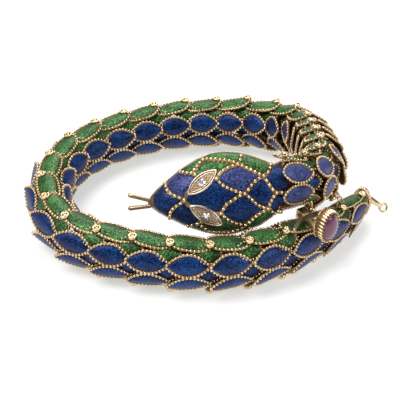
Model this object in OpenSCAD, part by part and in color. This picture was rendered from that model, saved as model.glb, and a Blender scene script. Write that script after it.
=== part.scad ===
// Articulated snake bracelet, coiled a little over one turn and lying on its side.
// The body is a chain of hinged links. Each link is a cup of leaf-shaped scales on an oval
// frame ring, and its scale tips cover the root of the next link towards the head.
// Link frame: x along the body towards the head, y outward from the coil, z across the body.

/* [Body] */
// Half thickness of the body outward from the coil, over the scale roots
root_out = 4.6; // [4.4:0.1:4.8]
// Half width of the body across the coil, over the scale roots
root_side = 5.6; // [5.4:0.1:5.8]
// Half thickness of the body outward, over the flared scale tips
tip_out = 6.1; // [5.9:0.1:6.3]
// Half width of the body across, over the flared scale tips
tip_side = 6.8; // [6.6:0.1:7]

/* [Scales] */
// Sheet thickness of a full size scale with its enamel
scale_t = 0.7; // [0.65:0.05:0.75]
// Width of a blue scale on the outer and inner sides
blue_w = 5.7; // [5.6:0.1:5.9]
// Width of a green scale on the two flanks
green_w = 5.2; // [5.1:0.1:5.4]
// Angle of a blue scale off the middle of the outer or inner side
blue_angle = 27; // [26:1:28]
// How far a scale tip reaches past the next hinge
overlap = 1; // [0.7:0.1:1.1]
// How much shorter an inner tip is for each degree that its hinge is turned
inner_trim = 0.1; // [0.095:0.005:0.105]
// Length of the small scales between the large ones
small_len = 5.4; // [5:0.1:5.6]
// Width of the small scales
small_w = 3; // [2.8:0.1:3.2]

/* [Hinges] */
// Radius of a hinge pin
pin_r = 0.45; // [0.4:0.05:0.5]
// Radial play of a pin in its hole
pin_play = 0.15; // [0.12:0.01:0.18]
// Radius of the tubular boss on the tip of a green scale
boss_r = 0.95; // [0.9:0.05:1]
// Distance of the hinge pins from the body's middle line, outward
hinge_out = 1.2; // [1:0.1:1.4]
// Half length of the frame ring along the body
frame_half = 1; // [0.9:0.05:1.1]
// Wall of a full size frame ring
frame_wall = 0.8; // [0.7:0.05:0.9]

/* [Head] */
// Length of the head from its hinge to the snout
head_len = 29.2; // [28.8:0.2:29.6]
// Half width of the head at the jaw
head_half = 9.2; // [9:0.1:9.4]
// Wall of the hollow head
head_wall = 1; // [0.9:0.05:1.1]
// Direction in plan that the head points
head_heading = -178; // [-179:1:-177]
// Downward tilt of the head
head_nod = 7.5; // [7:0.5:8]
// Length of an eye setting
eye_len = 8.6; // [8.4:0.1:8.8]
// Width of an eye setting
eye_w = 3.6; // [3.5:0.05:3.7]

/* [Clasp] */
// Length of the ruby cabochon
ruby_len = 7; // [6.9:0.1:7.2]
// Width of the ruby cabochon
ruby_w = 5; // [4.8:0.1:5.2]
// Height of the fluted bezel
bezel_h = 2.6; // [2.4:0.1:2.8]
// Inner radius of the tail ring
ring_bore_r = 0.7; // [0.65:0.05:0.75]

/* [Hidden] */
// The coil, one row for each stretch from the tail to the head.
// Columns: number of links, pitch, turn per link, rise per link, roll per link, size change per link,
// and how much wider the scale tips stand open
LINKS = 0;
PITCH = 1;
TURN = 2;
RISE = 3;
ROLL = 4;
TAPER = 5;
FLARE = 6;
COIL = [
    [3, 9.2, 9, 0.72, 0, 0.14, 0],        // tail
    [3, 8.4, 14, 0, 0, 0, 0],             // front right
    [2, 8.4, 5, 0, 0, 0, 0],              // front
    [3, 8.4, 22, 0, 0, 0, 0],             // front left
    [3, 8.4, 18.5, 0, 0, 0, 0],           // back left
    [4, 8.2, 9, 0, 0, 0, 0],              // back
    [2, 8.1, 15.5, 0.6, 0, 0, 0.3],       // back, rising
    [2, 7.2, 27.5, 1.9, 8, -0.015, 0.15], // neck, first turn
    [3, 6.2, 0.5, 1.85, 1, -0.015, 0.25], // neck, side
    [3, 5.9, 30.5, 0.8, 4, -0.015, 0.65]  // neck, turn into the head
];
tail_at = [35.802, -5.036, 4.722];
tail_heading = 237.6;
tail_size = 0.58;

STEPS = [for (row = COIL, k = [1:row[LINKS]]) row];
n_links = len(STEPS);
headings = [for (i = 0, h = tail_heading; i <= n_links;
    h = i < n_links ? h - STEPS[i][TURN] : h, i = i + 1) h];
rolls = [for (i = 0, r = 0; i <= n_links;
    r = i < n_links ? r + STEPS[i][ROLL] : r, i = i + 1) r];
sizes = [for (i = 0, s = tail_size; i <= n_links;
    s = i < n_links ? s + STEPS[i][TAPER] : s, i = i + 1) s];
joints = [for (i = 0, p = tail_at; i <= n_links;
    p = i < n_links ? p + step_vector(i) : p, i = i + 1) p];

function chord_heading(i) = headings[i] - STEPS[i][TURN] / 2;
function climb(i) = asin(STEPS[i][RISE] / STEPS[i][PITCH]);
function step_vector(i) =
    let (run = STEPS[i][PITCH] * cos(climb(i)))
    [run * cos(chord_heading(i)), run * sin(chord_heading(i)), STEPS[i][RISE]];
function turn_x(a, p) = [p.x, p.y * cos(a) - p.z * sin(a), p.y * sin(a) + p.z * cos(a)];
function turn_y(a, p) = [p.x * cos(a) + p.z * sin(a), p.y, p.z * cos(a) - p.x * sin(a)];
function turn_z(a, p) = [p.x * cos(a) - p.y * sin(a), p.x * sin(a) + p.y * cos(a), p.z];
function link_point(i, p) =
    joints[i] + turn_z(chord_heading(i), turn_y(-climb(i), turn_x(link_roll(i), p)));
function link_roll(i) = (rolls[i] + rolls[i + 1]) / 2;
function joint_climb(j) = (climb(max(j - 1, 0)) + climb(min(j, n_links - 1))) / 2;
function joint_turn(j) = j >= n_links
    ? chord_heading(n_links - 1) - head_heading
    : chord_heading(j - 1) - chord_heading(j);

// Half sizes of the oval frame ring at full size
frame_out = 3.4;
frame_side = 4.8;

// Outer scales of one link: angle around the body, width and colour
ANGLE = 0;
WIDTH = 1;
TINT = 2;
LARGE = [
    [blue_angle, blue_w, "royalblue"],
    [90, green_w, "seagreen"],
    [180 - blue_angle, blue_w, "royalblue"],
    [180 + blue_angle, blue_w, "royalblue"],
    [270, green_w, "seagreen"],
    [360 - blue_angle, blue_w, "royalblue"]
];
SMALL = [
    [0, small_w, "royalblue"],
    [58, small_w, "seagreen"],
    [122, small_w, "seagreen"],
    [180, small_w, "royalblue"],
    [238, small_w, "seagreen"],
    [302, small_w, "seagreen"]
];

// Sections of the head from its hinge to the snout, at a length of 30 and a half width of 9.2.
// Columns: distance from the hinge, half width, height, depth, and shift to the side
ALONG = 0;
HALF = 1;
TOP = 2;
BOTTOM = 3;
SIDE = 4;
HEAD = [
    [-1.2, 4.4, 3.5, 3.0, 0.2],
    [0, 4.7, 3.8, 3.1, 0.4],
    [1.3, 4.9, 4.1, 3.3, 0.65],
    [3, 6.3, 4.4, 3.6, 1.0],
    [6, 7.8, 4.7, 3.8, 1.0],
    [9, 8.7, 4.9, 3.8, 0.8],
    [12, 9.2, 5.1, 3.8, 0.7],
    [15, 9.1, 5.1, 3.8, 0.7],
    [18.5, 8.2, 4.8, 3.6, 0.7],
    [22.5, 6.4, 4.2, 3.3, 0.7],
    [26.5, 3.9, 3.1, 2.6, 0.7],
    [28.7, 2.4, 2.2, 1.9, 0.7],
    [30, 1.2, 1.1, 1.0, 0.7]
];
head_sides = 20;
eye_along = 17.2;
function eye_side(side) = side > 0 ? 3.35 : 4;
function eye_turn(side) = side > 0 ? 33 : 38;
eye_depth = 0.6;
// Height and sideways lean of the head's top at the eyes
eye_top = 4.85;
eye_half = 8.7;
function eye_height(side) = eye_top * sqrt(1 - pow(eye_side(side) / eye_half, 2));
function eye_lean(side) = side > 0 ? 13 : 15;
eye_dip = 5;

// Tail end: where the arm starts in the frame of joint 0, how it points, and its length
arm_from = [-2, 0.2, 2.4];
arm_bend = -50;
arm_droop = -36;
arm_len = 6.2;
ring_tilt = -66;

// Safety chain: an eye under a neck link, one on a tail link, and the loose links between them
neck_eye_link = 25;
tail_eye_link = 0;
neck_eye = link_point(neck_eye_link, [3, 1, -6.3]);
tail_eye = link_point(tail_eye_link, [7.8, -0.5, 5]);
chain_count = 3;
chain_step = (tail_eye - neck_eye) / (chain_count + 1);
chain_wire = 0.14;
chain_r = norm(chain_step) / 2 + chain_wire + 0.06;

// Link that carries the clasp, counted from 0
clasp_link = 2;

// Puts a child in the frame of link i
module at_link(i) {
    translate(joints[i]) rotate([link_roll(i), -climb(i), chord_heading(i)]) children();
}

// Puts a child in the frame of joint j, halfway between its two links
module at_joint(j) {
    translate(joints[j]) rotate([rolls[j], -joint_climb(j), headings[j]]) children();
}

module at_head() {
    translate(joints[n_links]) rotate([rolls[n_links], head_nod, head_heading]) children();
}

// Oval drawn along x, with round ends across
module oval(out, side) {
    translate([0, side - out]) circle(r = out, $fn = 48);
    translate([0, out - side]) circle(r = out, $fn = 48);
    square([2 * out, 2 * (side - out)], center = true);
}

// Oval tube along x, centred on the hinge
module frame_ring(size, front = frame_half) {
    out = frame_out * size;
    side = frame_side * size;
    wall = frame_wall * size;
    translate([-frame_half, 0, 0]) rotate([90, 0, 90]) linear_extrude(frame_half + front)
        difference() {
            oval(out, side);
            oval(out - wall, side - wall);
        }
}

// Leaf outline from the origin along x, bounded by two arcs
module leaf_outline(len, width) {
    r = (len * len + width * width) / (4 * width);
    intersection() {
        translate([len / 2, width / 2 - r]) circle(r = r, $fn = 64);
        translate([len / 2, r - width / 2]) circle(r = r, $fn = 64);
    }
}

// Unit outward direction of the oval section at an angle, as an angle
function facing(angle, out, side) = atan2(sin(angle) / side, cos(angle) / out);

// One scale at an angle around the body. Its underside runs from
// [x, out, side] root to [x, out, side] tip.
module scale_leaf(angle, width, thick, root, tip) {
    turned = facing(angle, root[1], root[2]);
    y0 = root[1] * cos(angle);
    z0 = root[2] * sin(angle);
    lift = (tip[1] - root[1]) * cos(angle) * cos(turned) + (tip[2] - root[2]) * sin(angle) * sin(turned);
    run = tip[0] - root[0];
    translate([root[0], y0, z0]) rotate([turned - 90, 0, 0]) rotate([0, -atan2(lift, run), 0])
        linear_extrude(thick) leaf_outline(sqrt(run * run + lift * lift), width);
}

module large_scales(pitch, size0, size1, turn_ahead, flare) {
    mean = (size0 + size1) / 2;
    thick = scale_t * mean;
    root_at = [-0.6, root_out * size0 - thick, root_side * size0 - thick];
    for (leaf = LARGE) {
        trim = inner_trim * turn_ahead * max(0, -cos(leaf[ANGLE]));
        tip_at = [pitch + overlap * size1 - trim, tip_out * size1 + flare - thick, tip_side * size1 + flare - thick];
        color(leaf[TINT]) scale_leaf(leaf[ANGLE], leaf[WIDTH] * mean, thick, root_at, tip_at);
    }
}

module small_scales(size) {
    half = small_len * size / 2;
    back = [0.2 - half, (frame_out - 0.15) * size, (frame_side - 0.15) * size];
    front = [0.2 + half, (frame_out + 0.45) * size, (frame_side + 0.45) * size];
    for (leaf = SMALL) {
        color(leaf[TINT]) scale_leaf(leaf[ANGLE], leaf[WIDTH] * size, scale_t * size, back, front);
    }
}

function boss_size(size) = max(boss_r * size, pin_r + 0.3);

// Two pins and their bosses, in the frame of the joint ahead
module hinge_pins(size, flare = 0) {
    top = tip_side * size + flare + 0.05;
    foot = (frame_side - frame_wall) * size;
    for (side = [1, -1]) color("gold") translate([0, hinge_out * size, 0]) {
        translate([0, 0, side * (top - size / 2)]) cylinder(r = boss_size(size), h = size, center = true, $fn = 32);
        translate([0, 0, side * (top + foot) / 2]) cylinder(r = pin_r, h = top - foot, center = true, $fn = 32);
    }
}

// Room in a link for the pins and bosses of the link behind it
module hinge_room(size) {
    high = 4;
    translate([0, hinge_out * size, 0]) {
        cylinder(r = pin_r + pin_play, h = 30, center = true, $fn = 32);
        for (side = [1, -1]) {
            translate([0, 0, side * ((frame_side + 0.35) * size + high / 2)])
                cylinder(r = boss_size(size) + 0.25, h = high, center = true, $fn = 32);
        }
    }
}

module link(i) {
    difference() {
        union() {
            at_link(i) {
                color("gold") frame_ring(sizes[i]);
                large_scales(STEPS[i][PITCH], sizes[i], sizes[i + 1], joint_turn(i + 1), STEPS[i][FLARE]);
                small_scales(sizes[i]);
            }
            at_joint(i + 1) hinge_pins(sizes[i + 1], STEPS[i][FLARE]);
            if (i == neck_eye_link) chain_ring(0);
            if (i == tail_eye_link) chain_ring(chain_count + 1);
        }
        at_joint(i) hinge_room(sizes[i]);
        if (i == clasp_link) at_link(i) clasp_stem(0.75);
    }
}

// Solid skinned over closed rings of points, all with the same number of points
module skin(rings) {
    n = len(rings[0]);
    last = len(rings) - 1;
    points = [for (ring = rings, p = ring) p];
    walls = [for (k = [0:last - 1], i = [0:n - 1]) let (j = (i + 1) % n)
        each [[k * n + i, k * n + n + j, k * n + j], [k * n + i, k * n + n + i, k * n + n + j]]];
    caps = [[for (i = [0:n - 1]) i], [for (i = [n - 1:-1:0]) last * n + i]];
    polyhedron(points, concat(walls, caps));
}

// How far the head lies to one side of its hinge
head_side = HEAD[6][SIDE];

// Ring of points around one section of the head, drawn in by a wall
function head_ring(row, wall) =
    let (half = row[HALF] * head_half / 9.2 - wall)
    [for (k = [0:head_sides - 1]) let (a = 360 * k / head_sides)
        [row[ALONG] * head_len / 30,
         (cos(a) > 0 ? row[TOP] - wall : row[BOTTOM] - wall) * cos(a),
         half * sin(a) - row[SIDE]]];

// Frame of an eye on the head's surface: x along the eye, z away from the head
module at_eye(side) {
    at_head() translate([eye_along, eye_height(side), side * eye_side(side) - head_side])
        rotate([side * eye_lean(side) - 90, 0, 0]) rotate([0, eye_dip, 0])
        rotate([0, 0, side * eye_turn(side)]) children();
}

module eye_outline(grow) {
    translate([-eye_len / 2 - grow, 0]) leaf_outline(eye_len + 2 * grow, eye_w + 2 * grow);
}

module tongue_frame() {
    at_head() translate([head_len - 5, -0.2, -head_side]) children();
}

module head() {
    color("royalblue") difference() {
        union() {
            at_head() frame_ring(sizes[n_links], 1.6);
            at_head() skin([for (row = HEAD) head_ring(row, 0)]);
        }
        at_head() skin([for (k = [2:10]) head_ring(HEAD[k], head_wall)]);
        at_head() translate([-2, 0, 0]) rotate([90, 0, 90]) linear_extrude(5)
            oval((frame_out - frame_wall) * sizes[n_links], (frame_side - frame_wall) * sizes[n_links]);
        at_joint(n_links) hinge_room(sizes[n_links]);
        for (side = [1, -1]) at_eye(side) translate([0, 0, -eye_depth]) linear_extrude(3) eye_outline(0.2);
        tongue_frame() translate([0, 0, -0.25]) rotate([0, 90, 0]) cylinder(r = 0.6, h = 8, $fn = 24);
    }
}

module tongue() {
    tine = 4.6;
    color("gold") tongue_frame() {
        translate([0.3, 0, -0.25]) rotate([0, 90, 0]) cylinder(r = 0.45, h = 5.5, $fn = 24);
        for (side = [0, 1]) translate([5.4, 0, 1.3 * side - 0.9]) rotate([0, 89 - 21 * side, 0]) {
            cylinder(r = 0.42, h = tine, $fn = 24);
            translate([0, 0, tine]) sphere(r = 0.42, $fn = 24);
        }
    }
}

module eye_setting(side) {
    color("gainsboro") at_eye(side) difference() {
        translate([0, 0, -eye_depth + 0.1]) linear_extrude(eye_depth + 0.4) eye_outline(0);
        translate([0, 0, -0.2]) cylinder(r = 0.9, h = 2, $fn = 32);
    }
}

// Round brilliant: eight-sided pavilion and crown with a flat table
module eye_stone(side) {
    color("white") at_eye(side) translate([0, 0, -0.1]) {
        cylinder(r1 = 0.5, r2 = 0.8, h = 0.3, $fn = 8);
        translate([0, 0, 0.3]) cylinder(r1 = 0.8, r2 = 0.48, h = 0.35, $fn = 8);
    }
}

// Frame of the tail ring and its arm, which points along negative x
module at_arm() {
    at_joint(0) translate(arm_from) rotate([0, arm_droop, arm_bend]) children();
}

// Tail end: a cup behind the last link, a drooping arm and a small ring
module tail_tip() {
    size = sizes[0];
    rim = tip_side * size + 0.05;
    ring_r = ring_bore_r + 0.6;
    color("gold") difference() {
        union() {
            at_joint(0) {
                hinge_pins(size);
                translate([-3, 0, 0]) rotate([90, 0, 90]) linear_extrude(1.2) oval(2.3, rim);
                translate([-3.8, 0, 0]) rotate([0, 90, 0]) cylinder(r1 = 1.2, r2 = 2, h = 0.9, $fn = 48);
                for (side = [1, -1]) {
                    translate([-1.2, hinge_out * size, side * (rim - size / 2)])
                        cube([2.2, 1.2, size], center = true);
                }
                translate([-1.6, 0.6, rim - 0.1]) sphere(r = 0.7, $fn = 32);
            }
            at_arm() translate([-arm_len, 0, 0]) rotate([0, 90, 0]) cylinder(r1 = 0.6, r2 = 0.95, h = arm_len, $fn = 32);
            at_arm() translate([-arm_len - ring_bore_r, 0, 0]) rotate([ring_tilt, 0, 0])
                cylinder(r = ring_r, h = 0.6, center = true, $fn = 48);
        }
        at_arm() translate([-arm_len - ring_bore_r, 0, 0]) rotate([ring_tilt, 0, 0])
            cylinder(r = ring_bore_r, h = 3, center = true, $fn = 48);
    }
}

// Peg of the clasp box through the green scale under it
module clasp_stem(r) {
    translate([3.4, 1.2, 3.9]) cylinder(r = r, h = 2.4, $fn = 32);
}

// Box on top of a tail link, with an open slot for the blade and the ruby on its outer wall
module clasp_box() {
    color("darkkhaki") difference() {
        at_link(clasp_link) {
            translate([0.6, 0.5, 6.1]) cube([3.6, 3.6, 2.2]);
            translate([2, -2, 6.1]) cube([2.2, 2.6, 2.2]);
            translate([1, 3, 6.1]) cube([3.2, 1.1, 3.1]);
            clasp_stem(0.6);
        }
        at_slot() translate([-0.25, -0.6, -0.1]) cube([6, 1.2, 0.8]);
        at_ruby() translate([0, 0, -2]) cylinder(r = 0.6, h = 4, $fn = 24);
    }
}

// Frame of the clasp's slot: x along the blade, z away from the tail
module at_slot() {
    at_link(clasp_link) translate([2.8, -1, 7.05]) rotate([0, 0, 33]) children();
}

// Flat pointed blade, its root in the slot of the clasp box
module clasp_blade() {
    color("darkkhaki") at_slot() linear_extrude(0.6)
        polygon([[0, -0.45], [4.8, -0.45], [7.3, -0.2], [7.3, 0.2], [4.8, 0.45], [0, 0.45]]);
}

// Frame of the ruby on the clasp's outer side: x along the stone, z away from the clasp
module at_ruby() {
    at_link(clasp_link) translate([2.6, 4.8, 8.2]) rotate([-90, 0, 12]) rotate([0, 0, 100]) children();
}

module ellipse_outline(len, width, flutes, depth) {
    steps = flutes > 0 ? 2 * flutes : 48;
    polygon([for (k = [0:steps - 1]) let (a = 360 * k / steps, cut = k % 2 == 1 ? depth : 0)
        [(len / 2 - cut) * cos(a), (width / 2 - cut) * sin(a)]]);
}

module ruby_bezel() {
    color("gold") at_ruby() {
        difference() {
            linear_extrude(bezel_h) ellipse_outline(ruby_len + 1.3, ruby_w + 1.4, 28, 0.3);
            translate([0, 0, 0.8]) linear_extrude(4) ellipse_outline(ruby_len + 0.25, ruby_w + 0.25, 0, 0);
        }
        translate([0, 0, -1.3]) cylinder(r = 0.45, h = 1.7, $fn = 24);
    }
}

// Oval cabochon: a straight girdle under a low dome
module ruby() {
    dome = 1.5;
    levels = [0, 20, 40, 60, 80];
    color("mediumvioletred") at_ruby() translate([0, 0, 0.95]) {
        skin(concat(
            [ellipse_ring(ruby_len, ruby_w, 0)],
            [for (a = levels) ellipse_ring(ruby_len * cos(a), ruby_w * cos(a), 1.1 + dome * sin(a))]
        ));
    }
}

function ellipse_ring(len, width, z) =
    [for (k = [0:31]) [len / 2 * cos(360 * k / 32), width / 2 * sin(360 * k / 32), z]];

// Wire ring of the safety chain; even and odd rings stand crosswise
module chain_ring(k) {
    translate(neck_eye + chain_step * k)
        rotate([0, acos(chain_step.z / norm(chain_step)), atan2(chain_step.y, chain_step.x)])
        rotate([90, 0, 90 * k]) rotate_extrude($fn = 32) translate([chain_r, 0]) circle(r = chain_wire, $fn = 16);
}

for (i = [0:27]) {
    link(i);
}
tail_tip();
head();
tongue();
eye_setting(1);  // eye_setting_upper
eye_setting(-1);  // eye_setting_lower
eye_stone(1);  // eye_stone_upper
eye_stone(-1);  // eye_stone_lower
clasp_box();
clasp_blade();
ruby_bezel();
ruby();
for (k = [1:3]) {
    color("gold") chain_ring(k);
}
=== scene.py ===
"""Coiled snake bracelet in enamelled gold, dressed for rendering.

Lengths are in millimetres until a piece is made. Every piece is built in the part's own frame:
x to the right, y away from the front, z up.
"""

import logging
import math
from dataclasses import dataclass, field
from enum import Enum

import bpy
import numpy as np
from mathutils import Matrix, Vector


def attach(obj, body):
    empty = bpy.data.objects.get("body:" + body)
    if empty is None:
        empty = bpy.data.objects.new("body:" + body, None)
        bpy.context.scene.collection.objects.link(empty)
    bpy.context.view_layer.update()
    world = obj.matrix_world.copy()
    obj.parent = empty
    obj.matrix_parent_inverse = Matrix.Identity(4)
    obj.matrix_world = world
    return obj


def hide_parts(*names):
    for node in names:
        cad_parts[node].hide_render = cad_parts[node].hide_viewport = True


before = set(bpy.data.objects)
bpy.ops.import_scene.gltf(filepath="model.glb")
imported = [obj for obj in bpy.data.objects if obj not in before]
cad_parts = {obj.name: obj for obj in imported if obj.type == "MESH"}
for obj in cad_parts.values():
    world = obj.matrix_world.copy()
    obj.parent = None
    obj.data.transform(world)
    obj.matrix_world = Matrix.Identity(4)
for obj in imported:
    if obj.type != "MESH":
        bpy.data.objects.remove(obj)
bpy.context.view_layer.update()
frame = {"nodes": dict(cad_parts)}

log = logging.getLogger("snake_bracelet")

Array = np.ndarray
Colour = tuple[float, float, float]
Solid = tuple[Array, Array | list[list[int]]]
Path = tuple[Array, bool]
Point = tuple[float, float, float]
Tree = bpy.types.NodeTree
Socket = bpy.types.NodeSocket

MM = 0.001
SENSOR = 36.0


class Finish(Enum):
    """The finishes of the bracelet, by the name of their material."""

    GOLD = "gold"
    # Darker gold painted as shade on recessed and in-between gold: plates, frame rings, the head's shell,
    # setting floors and the bezel wall
    TONED_GOLD = "toned_gold"
    BLUE = "blue_enamel"
    # Lighter blue enamel painted with the sheen that up-facing blue cells and scales catch from the lights
    LILAC = "lilac_enamel"
    GREEN = "green_enamel"
    WHITE_GOLD = "white_gold"
    GREY_GOLD = "grey_gold"
    DIAMOND = "diamond"
    RUBY = "ruby"


Palette = dict[Finish, bpy.types.Material]


class Slot(Enum):
    """Material slots of the part's record."""

    GOLD = "gold"
    ENAMELLED = "enamelled_gold"
    WHITE_GOLD = "white_gold"
    GREY_GOLD = "grey_gold"
    DIAMOND = "diamond"
    RUBY = "ruby"


# Node trees


def empty_tree(kind: str, name: str, inputs: list[tuple[str, str]], outputs: list[tuple[str, str]]) -> Tree:
    """Makes a node tree that holds only its input and output nodes.

    Args:
        kind: Type of the tree.
        name: Name of the tree.
        inputs: Name and socket type of each input.
        outputs: Name and socket type of each output.

    Returns:
        The tree, with its input and output nodes named "in" and "out".
    """
    tree = bpy.data.node_groups.new(name, kind)
    for way, sockets in (("INPUT", inputs), ("OUTPUT", outputs)):
        for label, socket in sockets:
            tree.interface.new_socket(label, in_out=way, socket_type=f"NodeSocket{socket}")
    tree.nodes.new("NodeGroupInput").name = "in"
    tree.nodes.new("NodeGroupOutput").name = "out"
    return tree


def feed(tree: Tree, node: bpy.types.Node, inputs: dict[str | int, object]) -> None:
    """Sets inputs of a node.

    Args:
        tree: The tree that holds it.
        node: The node.
        inputs: A value for each input, or the socket that it is linked to, by name or number.
    """
    for label, value in inputs.items():
        if isinstance(value, Socket):
            tree.links.new(value, node.inputs[label])
        else:
            node.inputs[label].default_value = value


def add_node(
    tree: Tree, kind: str, inputs: dict[str | int, object], **settings: object
) -> bpy.types.NodeOutputs:
    """Adds a node to a tree.

    Args:
        tree: Tree to add to.
        kind: Type of the node.
        inputs: Values or sockets for its inputs, by name or number.
        settings: Its other properties.

    Returns:
        Its outputs.
    """
    node = tree.nodes.new(kind)
    for label, value in settings.items():
        setattr(node, label, value)
    feed(tree, node, inputs)
    return node.outputs


# Finishes


def foil_group() -> Tree:
    """Crinkled foil under enamel.

    Returns:
        A group whose outputs are the fine grain, the broad clouds and the height of the crinkles.
    """
    tree = empty_tree(
        "ShaderNodeTree",
        "foil",
        [("Grain Scale", "Float"), ("Cloud Scale", "Float")],
        [("Grain", "Float"), ("Cloud", "Float"), ("Height", "Float")],
    )
    given = tree.nodes["in"].outputs
    place = add_node(tree, "ShaderNodeTexCoord", {})["Object"]
    fine = add_node(
        tree,
        "ShaderNodeTexNoise",
        {"Vector": place, "Scale": given["Grain Scale"], "Detail": 3.0, "Roughness": 0.65, "Distortion": 0.8},
    )["Fac"]
    coarser = add_node(tree, "ShaderNodeMath", {0: given["Grain Scale"], 1: 0.8}, operation="MULTIPLY")[0]
    crinkle = add_node(tree, "ShaderNodeTexVoronoi", {"Vector": place, "Scale": coarser})["Distance"]
    broad = add_node(
        tree, "ShaderNodeTexNoise", {"Vector": place, "Scale": given["Cloud Scale"], "Detail": 2.0}
    )["Fac"]
    height = add_node(tree, "ShaderNodeMath", {0: fine, 1: crinkle}, operation="ADD")[0]
    feed(tree, tree.nodes["out"], {"Grain": fine, "Cloud": broad, "Height": height})
    return tree


def tone_group() -> Tree:
    """Slow changes of tone and fine unevenness of worked metal.

    Returns:
        A group whose outputs are a tone and a height.
    """
    tree = empty_tree(
        "ShaderNodeTree",
        "metal_tone",
        [("Tone Scale", "Float"), ("Mark Scale", "Float")],
        [("Tone", "Float"), ("Height", "Float")],
    )
    place = add_node(tree, "ShaderNodeTexCoord", {})["Object"]
    for scale, output in (("Tone Scale", "Tone"), ("Mark Scale", "Height")):
        size = tree.nodes["in"].outputs[scale]
        noise = add_node(tree, "ShaderNodeTexNoise", {"Vector": place, "Scale": size, "Detail": 2.0})
        feed(tree, tree.nodes["out"], {output: noise["Fac"]})
    return tree


def colour_mix(tree: Tree, fac: Socket, low: object, high: object) -> Socket:
    """Blends two colours by a value.

    Args:
        tree: Tree to add to.
        fac: Socket of the value.
        low: Colour, or its socket, where the value is 0.
        high: Colour, or its socket, where the value is 1.

    Returns:
        The blended colour's socket.
    """
    return add_node(tree, "ShaderNodeMix", {"Factor": fac, "A": low, "B": high}, data_type="RGBA")["Result"]


def spread(tree: Tree, value: Socket, low: float, high: float) -> Socket:
    """Stretches a value so that low becomes 0 and high becomes 1, clamped."""
    return add_node(tree, "ShaderNodeMapRange", {"Value": value, "From Min": low, "From Max": high})["Result"]


def bump(tree: Tree, height: Socket, strength: float, depth: float) -> Socket:
    """Turns a height into a normal; depth is in metres."""
    inputs = {"Height": height, "Strength": strength, "Distance": depth}
    return add_node(tree, "ShaderNodeBump", inputs)["Normal"]


def new_material(name: str) -> tuple[bpy.types.Material, Tree, bpy.types.Node]:
    """Makes a material with a Principled shader.

    Args:
        name: Name of the material.

    Returns:
        The material, its tree and its shader.
    """
    material = bpy.data.materials.new(name)
    material.use_nodes = True
    return material, material.node_tree, material.node_tree.nodes["Principled BSDF"]


@dataclass(frozen=True)
class Metal:
    """A polished precious metal.

    Attributes:
        light: Its colour where it is bright.
        deep: Its colour where it is toned.
        roughness: How matt it is.
        marks: Depth of its unevenness, in metres.
        tone_scale: Changes of tone per metre.
        mark_scale: Uneven spots per metre.
        tones: Lowest and highest tone value, stretched from deep to light.
        strength: How strongly its unevenness shows.
    """

    light: Colour
    deep: Colour
    roughness: float
    marks: float
    tone_scale: float = 220.0
    mark_scale: float = 2600.0
    tones: tuple[float, float] = (0.35, 0.65)
    strength: float = 0.35

    def make(self, name: str, tone: Tree) -> bpy.types.Material:
        """Builds the material.

        Args:
            name: Name of the material.
            tone: The group of metal tones.

        Returns:
            The new material.
        """
        material, tree, shader = new_material(name)
        scales = {"Tone Scale": self.tone_scale, "Mark Scale": self.mark_scale}
        group = add_node(tree, "ShaderNodeGroup", scales, node_tree=tone)
        colour = colour_mix(tree, spread(tree, group["Tone"], *self.tones), (*self.deep, 1), (*self.light, 1))
        feed(tree, shader, {
            "Base Color": colour,
            "Metallic": 1.0,
            "Roughness": self.roughness,
            "Normal": bump(tree, group["Height"], self.strength, self.marks),
        })
        return material


@dataclass(frozen=True)
class Enamel:
    """Translucent enamel over crinkled foil.

    Attributes:
        dark: Colour in the folds of the foil.
        bright: Colour on its ridges.
        grazing_sheen: Colour mixed into the base at a flat angle, a painted sheen.
        metallic: How much the foil shines through.
        contrast: Lowest and highest grain value, stretched from dark to bright.
        crinkle: Depth of the crinkles, in metres.
        grain_scale: Grains of the foil per metre.
        cloud_scale: Clouds of colour per metre.
        clouds: How strongly the clouds change the grain.
        strength: How strongly the crinkles show.
        grazing_sheen_width: How far that painted sheen reaches in.
        roughness: How matt it is.
        specular: How strongly its surface shines.
        coat: Weight of the clear coat over it.
        coat_roughness: How matt that coat is.
    """

    dark: Colour
    bright: Colour
    grazing_sheen: Colour
    metallic: float
    contrast: tuple[float, float]
    crinkle: float = 0.00014
    grain_scale: float = 2700.0
    cloud_scale: float = 260.0
    clouds: float = 0.25
    strength: float = 0.5
    grazing_sheen_width: float = 0.27
    roughness: float = 0.42
    specular: float = 0.2
    coat: float = 0.1
    coat_roughness: float = 0.2

    def make(self, name: str, foil: Tree) -> bpy.types.Material:
        """Builds the material.

        Args:
            name: Name of the material.
            foil: The group of foil patterns.

        Returns:
            The new material.
        """
        material, tree, shader = new_material(name)
        scales = {"Grain Scale": self.grain_scale, "Cloud Scale": self.cloud_scale}
        group = add_node(tree, "ShaderNodeGroup", scales, node_tree=foil)
        cloudy = {0: group["Cloud"], 1: self.clouds, 2: group["Grain"]}
        grain = add_node(tree, "ShaderNodeMath", cloudy, operation="MULTIPLY_ADD")[0]
        low, high = (value + self.clouds / 2 for value in self.contrast)
        face = colour_mix(tree, spread(tree, grain, low, high), (*self.dark, 1), (*self.bright, 1))
        # Painted sheen: by the facing angle the base colour turns towards the grazing colour, standing in for
        # the reflection at flat angles
        edge = add_node(tree, "ShaderNodeLayerWeight", {"Blend": self.grazing_sheen_width})["Facing"]
        feed(tree, shader, {
            "Base Color": colour_mix(tree, edge, face, (*self.grazing_sheen, 1)),
            "Metallic": self.metallic,
            "Roughness": self.roughness,
            "Specular IOR Level": self.specular,
            "Coat Weight": self.coat,
            "Coat Roughness": self.coat_roughness,
            "Normal": bump(tree, group["Height"], self.strength, self.crinkle),
        })
        return material


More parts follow.
